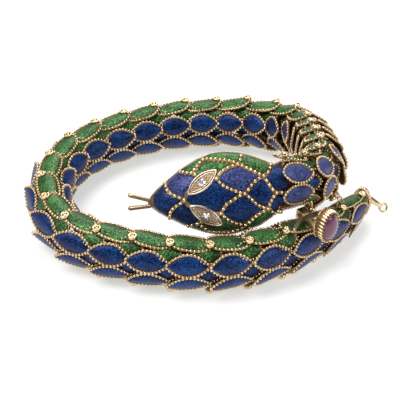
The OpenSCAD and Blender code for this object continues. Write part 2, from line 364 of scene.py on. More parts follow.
@dataclass(frozen=True)
class Gem:
    """A clear or coloured stone.

    Attributes:
        colour: Its body colour.
        ior: How strongly it bends light.
        transmission: Share of light that goes through.
        mirror: Share of light that its facets throw back.
        roughness: How matt it is.
        painted_glow: Share of its colour that it gives off as painted light, as if lit from within.
    """

    colour: Colour
    ior: float
    transmission: float
    mirror: float
    roughness: float
    painted_glow: float

    def make(self, name: str) -> bpy.types.Material:
        """Builds the material.

        Args:
            name: Name of the material.

        Returns:
            The new material.
        """
        material, tree, shader = new_material(name)
        feed(tree, shader, {
            "Base Color": (*self.colour, 1),
            "Metallic": self.mirror,
            "Roughness": self.roughness,
            "IOR": self.ior,
            "Transmission Weight": self.transmission,
            # Painted light: the stone's own colour glows faintly as if lit from within
            "Emission Color": (*self.colour, 1),
            "Emission Strength": self.painted_glow,
        })
        return material


METALS = {
    Finish.GOLD: Metal((0.82, 0.65, 0.42), (0.66, 0.475, 0.26), 0.25, 0.00003),
    # Painted shade: a darker copy of the gold for gold that sits in recesses and between beads and enamel
    Finish.TONED_GOLD: Metal((0.48, 0.33, 0.18), (0.28, 0.17, 0.085), 0.4, 0.00006),
    Finish.WHITE_GOLD: Metal((0.72, 0.61, 0.50), (0.54, 0.44, 0.35), 0.26, 0.00002),
    Finish.GREY_GOLD: Metal((0.70, 0.56, 0.37), (0.45, 0.34, 0.20), 0.34, 0.00003),
}
ENAMELS = {
    Finish.BLUE: Enamel(
        (0.0002, 0.001, 0.02), (0.005, 0.085, 0.34), (0.062, 0.062, 0.19), 0.35, (0.44, 0.67)
    ),
    # Painted sheen: a lighter, lilac copy of the blue enamel for blue that faces the lights above
    Finish.LILAC: Enamel((0.008, 0.014, 0.07), (0.10, 0.14, 0.40), (0.12, 0.12, 0.30), 0.3, (0.43, 0.65)),
    Finish.GREEN: Enamel((0.004, 0.024, 0.009), (0.15, 0.42, 0.10), (0.07, 0.15, 0.07), 0.4, (0.44, 0.69)),
}
GEMS = {
    Finish.DIAMOND: Gem((0.78, 0.76, 0.78), 2.4, 0.2, 0.6, 0.06, 0.0),
    # The ruby glows faintly as painted light
    Finish.RUBY: Gem((0.15, 0.028, 0.07), 1.6, 0.1, 0.0, 0.2, 0.02),
}


def make_palette() -> Palette:
    """Makes the material of every finish.

    Returns:
        The materials.
    """
    foil, tone = foil_group(), tone_group()
    palette = {finish: metal.make(finish.value, tone) for finish, metal in METALS.items()}
    palette |= {finish: enamel.make(finish.value, foil) for finish, enamel in ENAMELS.items()}
    return palette | {finish: gem.make(finish.value) for finish, gem in GEMS.items()}


# Places and meshes


def turn_about(axis: int, angle: float) -> Array:
    """Turning matrix about an axis.

    Args:
        axis: 0 to 2 for x to z.
        angle: Angle of the turn, in degrees.

    Returns:
        The matrix.
    """
    c, s = math.cos(math.radians(angle)), math.sin(math.radians(angle))
    i, j = (axis + 1) % 3, (axis + 2) % 3
    matrix = np.eye(3)
    matrix[i, i], matrix[i, j], matrix[j, i], matrix[j, j] = c, -s, s, c
    return matrix


def turn_x(angle: float) -> Array:
    """Turning matrix about x, in degrees."""
    return turn_about(0, angle)


def turn_y(angle: float) -> Array:
    """Turning matrix about y, in degrees."""
    return turn_about(1, angle)


def turn_z(angle: float) -> Array:
    """Turning matrix about z, in degrees."""
    return turn_about(2, angle)


@dataclass(frozen=True)
class Place:
    """A place in space.

    Attributes:
        origin: Where it is.
        turn: Its three directions, as the columns of a matrix.
    """

    origin: Array
    turn: Array

    def __call__(self, points: Array | list[float]) -> Array:
        """Points of this place in the frame around it."""
        return np.asarray(points, float) @ self.turn.T + self.origin

    def at(self, origin: Point, *turns: Array) -> "Place":
        """A place within this one.

        Args:
            origin: Where it is, in the frame of this place.
            turns: Turns that it makes there, one after the other.

        Returns:
            The place.
        """
        turn = self.turn
        for step in turns:
            turn = turn @ step
        return Place(self(np.array(origin, float)), turn)


class Pile:
    """Points and faces of one piece, in millimetres, kept in blocks of one finish each.

    Attributes:
        points: Points of each block.
        loops: The point of every corner of each block, face after face.
        sizes: Number of corners of every face of each block.
        finishes: Finish and number of faces of each block, and whether it is smooth.
        count: Number of points so far.
    """

    def __init__(self) -> None:
        """Starts empty."""
        self.points: list[Array] = []
        self.loops: list[Array] = []
        self.sizes: list[Array] = []
        self.finishes: list[tuple[Finish, int, bool]] = []
        self.count = 0

    def store(self, points: Array, loops: Array, sizes: Array, finish: Finish, smooth: bool = True) -> None:
        """Keeps points and faces.

        Args:
            points: Rows of points.
            loops: The point of every corner, face after face.
            sizes: Number of corners of every face.
            finish: Their finish.
            smooth: Whether they are shaded smooth.
        """
        self.points.append(points)
        self.loops.append(loops + self.count)
        self.sizes.append(sizes)
        self.finishes.append((finish, len(sizes), smooth))
        self.count += len(points)

    def add(self, solid: Solid, finish: Finish, place: Place | None = None, smooth: bool = True) -> None:
        """Adds a closed solid.

        Args:
            solid: Its points, and its faces as rows of equal length or as lists.
            finish: Its finish.
            place: Where it goes.
            smooth: Whether it is shaded smooth.
        """
        points, faces = solid
        sizes = np.array([len(face) for face in faces])
        placed = place(points) if place else points
        self.store(placed, np.concatenate(faces), sizes, finish, smooth)

    def add_mesh(self, mesh: bpy.types.Mesh, finish: Finish) -> None:
        """Adds a mesh that a node tree made, and removes it.

        Args:
            mesh: The mesh, in metres.
            finish: Its finish.
        """
        points = np.empty(len(mesh.vertices) * 3)
        mesh.vertices.foreach_get("co", points)
        loops = np.empty(len(mesh.loops), int)
        mesh.loops.foreach_get("vertex_index", loops)
        sizes = np.empty(len(mesh.polygons), int)
        mesh.polygons.foreach_get("loop_total", sizes)
        self.store(points.reshape(-1, 3) / MM, loops, sizes, finish)
        bpy.data.meshes.remove(mesh)

    def piece(self, name: str, node: str, slot: Slot, palette: Palette) -> None:
        """Makes the piece, parents it to the root body and hides the CAD node that it stands for.

        Args:
            name: Name of the piece.
            node: CAD node that it stands for.
            slot: Material slot of the record; not used.
            palette: The materials.
        """
        sizes = np.concatenate(self.sizes)
        loops = np.concatenate(self.loops)
        used = [finish for finish in Finish if finish in {entry[0] for entry in self.finishes}]
        starts = np.concatenate([[0], np.cumsum(sizes)[:-1]])
        index = np.concatenate([np.full(count, used.index(finish)) for finish, count, _ in self.finishes])
        smooth = np.concatenate([np.full(count, is_smooth) for _, count, is_smooth in self.finishes])
        mesh = bpy.data.meshes.new(name)
        mesh.vertices.add(self.count)
        mesh.vertices.foreach_set("co", (np.concatenate(self.points) * MM).ravel())
        mesh.loops.add(len(loops))
        mesh.loops.foreach_set("vertex_index", loops.astype(np.int32))
        mesh.polygons.add(len(sizes))
        mesh.polygons.foreach_set("loop_start", starts.astype(np.int32))
        mesh.polygons.foreach_set("loop_total", sizes.astype(np.int32))
        for finish in used:
            mesh.materials.append(palette[finish])
        mesh.polygons.foreach_set("material_index", index.astype(np.int32))
        mesh.polygons.foreach_set("use_smooth", smooth)
        mesh.update(calc_edges=True)
        obj = new_object(name, mesh)
        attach(obj, "root")
        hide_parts(node)
        log.info("%s: %d faces", name, len(sizes))


def new_object(name: str, data: bpy.types.ID) -> bpy.types.Object:
    """Makes an object and puts it in the scene.

    Args:
        name: Name of the object.
        data: Its mesh, lamp or camera.

    Returns:
        The object.
    """
    obj = bpy.data.objects.new(name, data)
    bpy.context.scene.collection.objects.link(obj)
    return obj


def ring_faces(rings: int, sides: int) -> Array:
    """Quads between stacked rings of points, facing out when the rings run anticlockwise along their axis.

    Args:
        rings: Number of rings.
        sides: Number of points in each.

    Returns:
        The point numbers of each quad.
    """
    r, k = np.meshgrid(np.arange(rings - 1), np.arange(sides), indexing="ij")
    n = (k + 1) % sides
    lower, upper = r * sides, (r + 1) * sides
    return np.stack([lower + k, lower + n, upper + n, upper + k], -1).reshape(-1, 4)


def stack(rings: list[Array]) -> Solid:
    """Closed solid over stacked rings.

    Args:
        rings: Rings of points, each anticlockwise seen from the last one.

    Returns:
        Its points and faces.
    """
    sides = len(rings[0])
    last = (len(rings) - 1) * sides
    caps = [list(range(sides - 1, -1, -1)), list(range(last, last + sides))]
    return np.concatenate(rings), ring_faces(len(rings), sides).tolist() + caps


def angles(count: int) -> Array:
    """Angles spaced evenly round a circle, in radians."""
    return np.linspace(0, 2 * math.pi, count, endpoint=False)


def oval(long: float, wide: float, z: float, sides: int) -> Array:
    """Ring of points around z with half axes long in x and wide in y."""
    a = angles(sides)
    return np.stack([long * np.cos(a), wide * np.sin(a), np.full(sides, float(z))], -1)


def lathe(profile: list[tuple[float, float]], sides: int) -> Solid:
    """Closed solid of revolution around z.

    Args:
        profile: Radius and height of each ring.
        sides: Number of sides.

    Returns:
        Its points and faces.
    """
    smallest = 0.003
    rings = [(max(radius, smallest), z) for radius, z in profile]
    return stack([oval(radius, radius, z, sides) for radius, z in rings])


def grid_solid(top: Array, bottom: Array) -> Solid:
    """Closed solid between two grids of points.

    Args:
        top: Grid of points, rows by columns, with rows cross columns pointing out of the top.
        bottom: Grid of the same shape below it.

    Returns:
        Its points and faces.
    """
    n, m = top.shape[:2]
    i, j = np.meshgrid(np.arange(n - 1), np.arange(m - 1), indexing="ij")
    quads = np.stack([i * m + j, (i + 1) * m + j, (i + 1) * m + j + 1, i * m + j + 1], -1).reshape(-1, 4)
    edge = np.concatenate([
        np.arange(0, m - 1),
        np.arange(m - 1, n * m - 1, m),
        np.arange(n * m - 1, (n - 1) * m, -1),
        np.arange((n - 1) * m, 0, -m),
    ])
    after = np.roll(edge, -1)
    walls = np.stack([edge, after, after + n * m, edge + n * m], -1)
    points = np.concatenate([top.reshape(-1, 3), bottom.reshape(-1, 3)])
    return points, np.concatenate([quads, quads[:, ::-1] + n * m, walls])


def box_solid(low: Point, high: Point, edge: float) -> Solid:
    """Box with softened edges.

    Args:
        low: Its lowest corner.
        high: Its highest corner.
        edge: How much its top and bottom edges are cut back.

    Returns:
        Its points and faces.
    """
    corner = 0.7 * edge
    rings = []
    for inset, z in ((edge, low[2]), (0, low[2] + edge), (0, high[2] - edge), (edge, high[2])):
        x0, y0, x1, y1 = low[0] + inset, low[1] + inset, high[0] - inset, high[1] - inset
        rings.append(np.array([
            [x1, y0 + corner, z], [x1, y1 - corner, z], [x1 - corner, y1, z], [x0 + corner, y1, z],
            [x0, y1 - corner, z], [x0, y0 + corner, z], [x0 + corner, y0, z], [x1 - corner, y0, z],
        ]))
    return stack(rings)


# Repeated small parts


class Workshop:
    """Node trees that repeat small parts along paths and at points."""

    def __init__(self, palette: Palette) -> None:
        """Builds the trees.

        Args:
            palette: The materials.
        """
        self.palette = palette
        self.beads_tree = self.make_beads()
        self.wire_tree = self.make_wire()
        self.copies_tree = self.make_copies()

    @staticmethod
    def new_tree(name: str, inputs: list[tuple[str, str]]) -> tuple[Tree, bpy.types.NodeOutputs]:
        """Makes an empty geometry tree.

        Args:
            name: Name of the tree.
            inputs: Name and socket type of each input between the geometry and the finish.

        Returns:
            The tree and its inputs.
        """
        inputs = [("Geometry", "Geometry"), *inputs, ("Finish", "Material")]
        tree = empty_tree("GeometryNodeTree", name, inputs, [("Geometry", "Geometry")])
        return tree, tree.nodes["in"].outputs

    @staticmethod
    def end_tree(tree: Tree, last: Socket) -> Tree:
        """Ends a tree in realized instances with the finish set.

        Args:
            tree: The tree.
            last: Geometry that it has made.

        Returns:
            The same tree.
        """
        real = add_node(tree, "GeometryNodeRealizeInstances", {"Geometry": last})["Geometry"]
        finish = tree.nodes["in"].outputs["Finish"]
        inputs = {"Geometry": real, "Material": finish}
        dressed = add_node(tree, "GeometryNodeSetMaterial", inputs)["Geometry"]
        feed(tree, tree.nodes["out"], {"Geometry": dressed})
        return tree

    def make_beads(self) -> Tree:
        """Makes the tree that sets a row of beads along each path, each a little larger or smaller.

        Returns:
            The tree.
        """
        tree, given = self.new_tree("bead_row", [("Bead Radius", "Float"), ("Bead Pitch", "Float")])
        path = add_node(tree, "GeometryNodeMeshToCurve", {"Mesh": given["Geometry"]})["Curve"]
        spaced = {"Curve": path, "Length": given["Bead Pitch"]}
        steps = add_node(tree, "GeometryNodeResampleCurve", spaced, mode="LENGTH")["Curve"]
        round_bead = {"Radius": given["Bead Radius"], "Subdivisions": 2}
        bead = add_node(tree, "GeometryNodeMeshIcoSphere", round_bead)["Mesh"]
        smallest_largest_seed = {2: 0.92, 3: 1.06, "Seed": 7}
        uneven = add_node(tree, "FunctionNodeRandomValue", smallest_largest_seed, data_type="FLOAT")[1]
        row = {"Points": steps, "Instance": bead, "Scale": uneven}
        return self.end_tree(tree, add_node(tree, "GeometryNodeInstanceOnPoints", row)["Instances"])

    def make_wire(self) -> Tree:
        """Makes the tree that draws a round wire along each path.

        Returns:
            The tree.
        """
        tree, given = self.new_tree("round_wire", [("Wire Radius", "Float"), ("Sides", "Int")])
        path = add_node(tree, "GeometryNodeMeshToCurve", {"Mesh": given["Geometry"]})["Curve"]
        round_section = {"Radius": given["Wire Radius"], "Resolution": given["Sides"]}
        section = add_node(tree, "GeometryNodeCurvePrimitiveCircle", round_section)["Curve"]
        sweep = {"Curve": path, "Profile Curve": section, "Fill Caps": True}
        return self.end_tree(tree, add_node(tree, "GeometryNodeCurveToMesh", sweep)["Mesh"])

    def make_copies(self) -> Tree:
        """Makes the tree that sets a copy of a part at each point, along its own axis and in its own size.

        Returns:
            The tree.
        """
        tree, given = self.new_tree("part_copies", [("Part", "Object")])
        part = add_node(tree, "GeometryNodeObjectInfo", {"Object": given["Part"]})["Geometry"]
        named = "GeometryNodeInputNamedAttribute"
        aim = add_node(tree, named, {"Name": "aim"}, data_type="FLOAT_VECTOR")["Attribute"]
        size = add_node(tree, named, {"Name": "size"}, data_type="FLOAT")["Attribute"]
        turned = add_node(tree, "FunctionNodeAlignRotationToVector", {"Vector": aim}, axis="Z")["Rotation"]
        spots = {"Points": given["Geometry"], "Instance": part, "Rotation": turned, "Scale": size}
        return self.end_tree(tree, add_node(tree, "GeometryNodeInstanceOnPoints", spots)["Instances"])

    def run(
        self, pile: Pile, tree: Tree, mesh: bpy.types.Mesh, values: dict[str, object], finish: Finish
    ) -> None:
        """Runs a tree on a mesh and adds the result to a pile.

        Args:
            pile: Pile to add to.
            tree: The tree.
            mesh: Paths or points to run it on, in metres.
            values: Its inputs by name, without the finish.
            finish: The finish.
        """
        values = {**values, "Finish": self.palette[finish]}
        guide = new_object("guide", mesh)
        modifier = guide.modifiers.new("build", "NODES")
        modifier.node_group = tree
        for item in tree.interface.items_tree:
            if item.item_type == "SOCKET" and item.in_out == "INPUT" and item.name in values:
                modifier[item.identifier] = values[item.name]
        evaluated = guide.evaluated_get(bpy.context.evaluated_depsgraph_get())
        result = bpy.data.meshes.new_from_object(evaluated)
        guide.modifiers.remove(modifier)
        bpy.data.objects.remove(guide)
        bpy.data.meshes.remove(mesh)
        pile.add_mesh(result, finish)

    @staticmethod
    def lines(paths: list[Path]) -> bpy.types.Mesh:
        """Mesh of edges along paths.

        Args:
            paths: Points of each path in millimetres, and whether it closes.

        Returns:
            The mesh, in metres.
        """
        points, edges, start = [], [], 0
        for path, closed in paths:
            n = len(path)
            points.append(np.asarray(path, float) * MM)
            edges += [(start + k, start + (k + 1) % n) for k in range(n if closed else n - 1)]
            start += n
        mesh = bpy.data.meshes.new("paths")
        mesh.from_pydata(np.concatenate(points).tolist(), edges, [])
        return mesh

    def beads(self, pile: Pile, paths: list[Path], radius: float, pitch: float) -> None:
        """Adds rows of gold beads along paths to a pile."""
        values = {"Bead Radius": radius * MM, "Bead Pitch": pitch * MM}
        self.run(pile, self.beads_tree, self.lines(paths), values, Finish.GOLD)

    def wire(self, pile: Pile, path: Path, radius: float, sides: int, finish: Finish = Finish.GOLD) -> None:
        """Adds a round wire along a path to a pile."""
        values = {"Wire Radius": radius * MM, "Sides": sides}
        self.run(pile, self.wire_tree, self.lines([path]), values, finish)

    def copies(
        self, pile: Pile, solid: Solid, spots: list[tuple[Array, Array, float]], finish: Finish = Finish.GOLD
    ) -> None:
        """Adds copies of a small solid to a pile.

        Args:
            pile: Pile to add to.
            solid: Points and faces of the solid, in millimetres, its axis along z.
            spots: Place, axis and size of each copy.
            finish: Their finish.
        """
        part_mesh = bpy.data.meshes.new("part")
        part_mesh.from_pydata((solid[0] * MM).tolist(), [], solid[1])
        part = new_object("part", part_mesh)
        places, axes, sizes = (np.array(column, float) for column in zip(*spots))
        mesh = bpy.data.meshes.new("spots")
        mesh.from_pydata((places * MM).tolist(), [], [])
        mesh.attributes.new("aim", "FLOAT_VECTOR", "POINT").data.foreach_set("vector", axes.ravel())
        mesh.attributes.new("size", "FLOAT", "POINT").data.foreach_set("value", sizes)
        self.run(pile, self.copies_tree, mesh, {"Part": part}, finish)
        bpy.data.objects.remove(part)
        bpy.data.meshes.remove(part_mesh)


# Body


@dataclass(frozen=True)
class Stretch:
    """Some links in a row that bend alike.

    Attributes:
        links: Number of links.
        pitch: Distance between their hinges.
        turn: Turn at each link, in degrees.
        rise: Rise of each link.
        roll: Roll of each link about its own length, in degrees.
        taper: Change of size from hinge to hinge.
        flare: How much wider the scale tips stand open.
    """

    links: int
    pitch: float
    turn: float
    rise: float = 0.0
    roll: float = 0.0
    taper: float = 0.0
    flare: float = 0.0


STRETCHES = (
    Stretch(3, 9.2, 9, rise=0.72, taper=0.14),
    Stretch(3, 8.4, 14),
    Stretch(2, 8.4, 5),
    Stretch(3, 8.4, 22),
    Stretch(3, 8.4, 18.5),
    Stretch(4, 8.2, 9),
    Stretch(2, 8.1, 15.5, rise=0.6, flare=0.3),
    Stretch(2, 7.2, 27.5, rise=1.9, roll=8, taper=-0.015, flare=0.15),
    Stretch(3, 6.2, 0.5, rise=1.85, roll=1, taper=-0.015, flare=0.25),
    Stretch(3, 5.9, 30.5, rise=0.8, roll=4, taper=-0.015, flare=0.65),
)


@dataclass
class Coil:
    """Path of the body from the tail to the head.

    Attributes:
        tail_at: Place of the tail's hinge.
        tail_heading: Direction of the body there, in degrees.
        tail_size: Size of the body there, as a share of full size.
        head_heading: Direction of the head, in degrees.
        head_nod: How far the snout points down, in degrees.
    """

    tail_at: Point = (35.802, -5.036, 4.722)
    tail_heading: float = 237.6
    tail_size: float = 0.58
    head_heading: float = -178.0
    head_nod: float = 7.5

    def __post_init__(self) -> None:
        """Walks the stretches from the tail."""
        self.steps = [stretch for stretch in STRETCHES for _ in range(stretch.links)]
        self.count = len(self.steps)
        self.joints = [np.array(self.tail_at)]
        self.headings, self.rolls, self.sizes = [self.tail_heading], [0.0], [self.tail_size]
        self.climbs, self.chords = [], []
        for step in self.steps:
            climb = math.degrees(math.asin(step.rise / step.pitch))
            chord = self.headings[-1] - step.turn / 2
            run = step.pitch * math.cos(math.radians(climb))
            ahead = [run * math.cos(math.radians(chord)), run * math.sin(math.radians(chord)), step.rise]
            self.joints.append(self.joints[-1] + ahead)
            self.headings.append(self.headings[-1] - step.turn)
            self.rolls.append(self.rolls[-1] + step.roll)
            self.sizes.append(self.sizes[-1] + step.taper)
            self.climbs.append(climb)
            self.chords.append(chord)

    def link(self, i: int) -> Place:
        """Place of link i: x towards the head, y outward, z across."""
        roll = (self.rolls[i] + self.rolls[i + 1]) / 2
        return Place(self.joints[i], turn_z(self.chords[i]) @ turn_y(-self.climbs[i]) @ turn_x(roll))

    def joint(self, j: int) -> Place:
        """Place of hinge j, halfway between its two links."""
        climb = (self.climbs[max(j - 1, 0)] + self.climbs[min(j, self.count - 1)]) / 2
        return Place(self.joints[j], turn_z(self.headings[j]) @ turn_y(-climb) @ turn_x(self.rolls[j]))

    def head(self) -> Place:
        """Place of the head: x towards the snout, y out of its top, z across."""
        turn = turn_z(self.head_heading) @ turn_y(self.head_nod) @ turn_x(self.rolls[-1])
        return Place(self.joints[-1], turn)

    def turn_ahead(self, i: int) -> float:
        """Turn at the hinge ahead of link i, in degrees."""
        ahead = self.chords[i + 1] if i + 1 < self.count else self.head_heading
        return self.chords[i] - ahead


@dataclass(frozen=True)
class Leaf:
    """Outline of a leaf-shaped scale or setting, from the origin along x.

    Attributes:
        length: Its length.
        width: Its width.
        curl: How far its long edges bend down.
        blunt: How blunt its ends are, as the two powers of its outline.
        end_inset: How much further its ends are drawn in than its sides.
        thinnest: Smallest half width.
    """

    length: float
    width: float
    curl: float = 0.0
    blunt: tuple[float, float] = (2.0, 0.85)
    end_inset: float = 1.35
    thinnest: float = 0.015

    def outline(self, inset: float, count: int) -> tuple[Array, Array]:
        """Points of the outline.

        Args:
            inset: How far it is drawn in.
            count: Number of points.

        Returns:
            Positions along the leaf, closer together at its ends, and the half width at each.
        """
        reach = self.length / 2 - self.end_inset * inset
        x = self.length / 2 - reach * np.cos(np.linspace(0, math.pi, count))
        u = np.clip(np.abs(x - self.length / 2) / reach, 0, 1)
        half = (self.width / 2 - inset) * (1 - u ** self.blunt[0]) ** self.blunt[1]
        return x, np.maximum(half, self.thinnest)

    def sheet(self, inset: float, grid: tuple[int, int], edge: float, dome: float) -> Array:
        """Grid of points over the leaf.

        Args:
            inset: How far its outline is drawn in.
            grid: Number of points along it and across it.
            edge: Height of its edge.
            dome: How much higher its middle is.

        Returns:
            The grid, with x along the leaf and z away from the body.
        """
        x, half = self.outline(inset, grid[0])
        v = np.linspace(-1, 1, grid[1])
        y = half[:, None] * v[None, :]
        ends = np.sin(np.linspace(0, math.pi, grid[0])) ** 0.7
        z = edge + dome * ends[:, None] * (1 - np.abs(v[None, :]) ** 2.4)
        z = z - self.curl * (y / (self.width / 2)) ** 2
        return np.stack([np.repeat(x[:, None], grid[1], 1), y, z], -1)

    def solid(self, inset: float, grid: tuple[int, int], low: float, high: float, dome: float = 0.0) -> Solid:
        """Closed solid over the leaf.

        Args:
            inset: How far its outline is drawn in.
            grid: Number of points along it and across it.
            low: Height of its underside.
            high: Height of its upper edge.
            dome: How much higher its upper middle is.

        Returns:
            Its points and faces.
        """
        return grid_solid(self.sheet(inset, grid, high, dome), self.sheet(inset, grid, low, 0))

    def edge(self, inset: float, z: float, count: int) -> Array:
        """Closed line around the leaf.

        Args:
            inset: How far it is drawn in.
            z: Its height.
            count: Number of points on each side.

        Returns:
            Its points.
        """
        x, half = self.outline(inset, count)
        xs = np.concatenate([x, x[-2:0:-1]])
        ys = np.concatenate([-half, half[-2:0:-1]])
        return np.stack([xs, ys, z - self.curl * (ys / (self.width / 2)) ** 2], -1)


@dataclass(frozen=True)
class ScaleKind:
    """What the large or the small scales share, at full size.

    Attributes:
        bead: Radius of their beads.
        pitch: Distance between their beads.
        border: Width of their gold border.
        curl: How far their long edges bend down.
        dome: Height of their enamel, as a share of their thickness.
        grid: Number of points along and across their plate.
    """

    bead: float
    pitch: float
    border: float
    curl: float
    dome: float
    grid: tuple[int, int]


LARGE = ScaleKind(bead=0.33, pitch=0.88, border=0.44, curl=0.4, dome=0.6, grid=(15, 7))
SMALL = ScaleKind(bead=0.26, pitch=0.84, border=0.42, curl=0.1, dome=0.5, grid=(10, 5))


@dataclass(frozen=True)
class Scale:
    """One scale of a link.

    Attributes:
        kind: Whether it is large or small.
        place: Its place, with x along it and z away from the body.
        leaf: Its outline.
        finish: Its enamel.
        size: Its size, as a share of full size.
    """

    kind: ScaleKind
    place: Place
    leaf: Leaf
    finish: Finish
    size: float


@dataclass
class Link:
    """One link of the body: an oval frame ring in a cup of overlapping scales.

    Attributes:
        index: Its number, from 0 at the tail.
        coil: Path of the body.
        root: Distance of the large scales' roots from the middle line, outward and across.
        tip: Distance of their tips.
        root_back: How far the roots stand behind the hinge.
        frame: Half sizes of the frame ring, outward and across.
        wall: Its wall.
        thick: Thickness of a scale.
        overlap: How far the tips reach past the next hinge.
        nape_overlap: How much further the last link's tips reach.
        inner_trim: How much shorter an inner tip is for each degree that its hinge is turned.
        hinge_out: Distance of the hinge pins from the middle line, outward.
        pin: Radius of a hinge pin.
        boss: Radius and least radius of the tubular boss over it.
        proud: How far the boss stands above the scale tips.
        small_half: Half length of the small scales.
        small_at: Where their middle is along the link.
        small_root: How far their roots lie inside the frame ring.
        small_tip: How far their tips stand outside it.
        large: Angle around the body, width and finish of each large scale.
        small: The same for the small scales between them.
        blunt_from: First link of the tight turn, with blunter blue scales.
        sheen_blue_from: First link whose blue scales take the lighter blue enamel with painted sheen.
    """

    index: int
    coil: Coil
    root: tuple[float, float] = (4.6, 5.6)
    tip: tuple[float, float] = (6.1, 6.8)
    root_back: float = 0.6
    frame: tuple[float, float] = (3.4, 4.8)
    wall: float = 0.8
    thick: float = 0.7
    overlap: float = 1.0
    nape_overlap: float = 0.8
    inner_trim: float = 0.1
    hinge_out: float = 1.2
    pin: float = 0.45
    boss: tuple[float, float] = (1.05, 0.8)
    proud: float = 0.05
    small_half: float = 3.3
    small_at: float = 0.2
    small_root: float = 0.15
    small_tip: float = 0.45
    large: tuple[tuple[float, float, Finish], ...] = (
        (27, 5.4, Finish.BLUE),
        (90, 5.2, Finish.GREEN),
        (153, 5.4, Finish.BLUE),
        (207, 5.4, Finish.BLUE),
        (270, 5.2, Finish.GREEN),
        (333, 5.4, Finish.BLUE),
    )
    small: tuple[tuple[float, float, Finish], ...] = (
        (0, 4.4, Finish.BLUE),
        (58, 4.4, Finish.GREEN),
        (122, 4.4, Finish.GREEN),
        (180, 4.4, Finish.BLUE),
        (238, 4.4, Finish.GREEN),
        (302, 4.4, Finish.GREEN),
    )
    blunt_from: int = 24
    sheen_blue_from: int = 26

    def leaf_place(self, angle: float, root: Point, tip: Point) -> tuple[Place, float]:
        """Place and length of a scale.

        Args:
            angle: Angle around the body, in degrees.
            root: Position along the body, outward and across, of its root.
            tip: The same for its tip.

        Returns:
            Its place, with x along the scale and z away from the body, and its length.
        """
        c, s = math.cos(math.radians(angle)), math.sin(math.radians(angle))
        facing = math.atan2(s / root[2], c / root[1])
        lift = (tip[1] - root[1]) * c * math.cos(facing) + (tip[2] - root[2]) * s * math.sin(facing)
        run = tip[0] - root[0]
        lean = math.degrees(math.atan2(lift, run))
        at = (root[0], root[1] * c, root[2] * s)
        place = self.coil.link(self.index).at(at, turn_x(math.degrees(facing) - 90), turn_y(-lean))
        return place, math.hypot(run, lift)

    def large_scales(self) -> list[Scale]:
        """Shapes the six large scales.

        Returns:
            The scales, in the order of their angles.
        """
        step = self.coil.steps[self.index]
        here, ahead = self.coil.sizes[self.index : self.index + 2]
        mean = (here + ahead) / 2
        inward = self.thick * mean
        last = self.index == self.coil.count - 1
        reach = step.pitch + self.overlap * ahead + (self.nape_overlap if last else 0)
        found = []
        for angle, width, finish in self.large:
            inner = max(0.0, -math.cos(math.radians(angle)))
            trim = self.inner_trim * self.coil.turn_ahead(self.index) * inner
            root = (-self.root_back, *(side * here - inward for side in self.root))
            tip = (reach - trim, *(side * ahead + step.flare - inward for side in self.tip))
            place, length = self.leaf_place(angle, root, tip)
            if finish == Finish.GREEN:
                blunt = (3.0, 0.56)
            else:
                blunt = (2.0, 0.9) if self.index < self.blunt_from else (2.4, 0.7)
                # The last links' blue scales take the lighter blue, a painted sheen
                finish = finish if self.index < self.sheen_blue_from else Finish.LILAC
            leaf = Leaf(length, width * mean, LARGE.curl * mean, blunt)
            found.append(Scale(LARGE, place, leaf, finish, mean))
        return found

    def small_scales(self) -> list[Scale]:
        """Shapes the six small scales between the large ones.

        Returns:
            The scales, in the order of their angles.
        """
        size = self.coil.sizes[self.index]
        half = self.small_half * size
        root = (self.small_at - half, *((side - self.small_root) * size for side in self.frame))
        tip = (self.small_at + half, *((side + self.small_tip) * size for side in self.frame))
        found = []
        for angle, width, finish in self.small:
            place, length = self.leaf_place(angle, root, tip)
            found.append(Scale(SMALL, place, Leaf(length, width * size, SMALL.curl * size), finish, size))
        return found

    def frame_ring(self, pile: Pile, place: Place, size: float, front: float = 1.0) -> None:
        """Adds an oval frame ring.

        Args:
            pile: Pile to add to.
            place: Where it goes, with x through it.
            size: Its size, as a share of full size.
            front: How far it reaches ahead.
        """
        sides, back = 48, -1.0
        out, across, wall = self.frame[0] * size, self.frame[1] * size, self.wall * size
        a = angles(sides)
        straight = np.sign(np.round(np.sin(a), 6)) * (across - out)
        rings = [
            np.stack([np.full(sides, x), (out - inset) * np.cos(a), (out - inset) * np.sin(a) + straight], -1)
            for inset, x in ((0, back), (0, front), (wall, front), (wall, back))
        ]
        faces = ring_faces(len(rings) + 1, sides) % (len(rings) * sides)
        # The frame ring inside the body takes the darker gold as painted shade
        pile.add((np.concatenate(rings), faces), Finish.TONED_GOLD, place)

    def boss_radius(self, size: float) -> float:
        """Radius of the tubular boss over a hinge pin."""
        return max(self.boss[0] * size, self.boss[1])

    def open_edge(self, line: Array) -> Path:
        """Opens the line around a green scale where the boss of the hinge stands at its tip.

        Args:
            line: Points of the closed line.

        Returns:
            The open line.
        """
        room = 0.22
        joint = self.coil.joint(self.index + 1)
        size = self.coil.sizes[self.index + 1]
        away = line - joint([0, self.hinge_out * size, 0])
        axis = joint.turn[:, 2]
        away = np.linalg.norm(away - np.outer(away @ axis, axis), axis=1)
        first = int(np.argmin(away))
        line = np.roll(line, -first, axis=0)
        return line[np.roll(away, -first) > self.boss_radius(size) + room], False

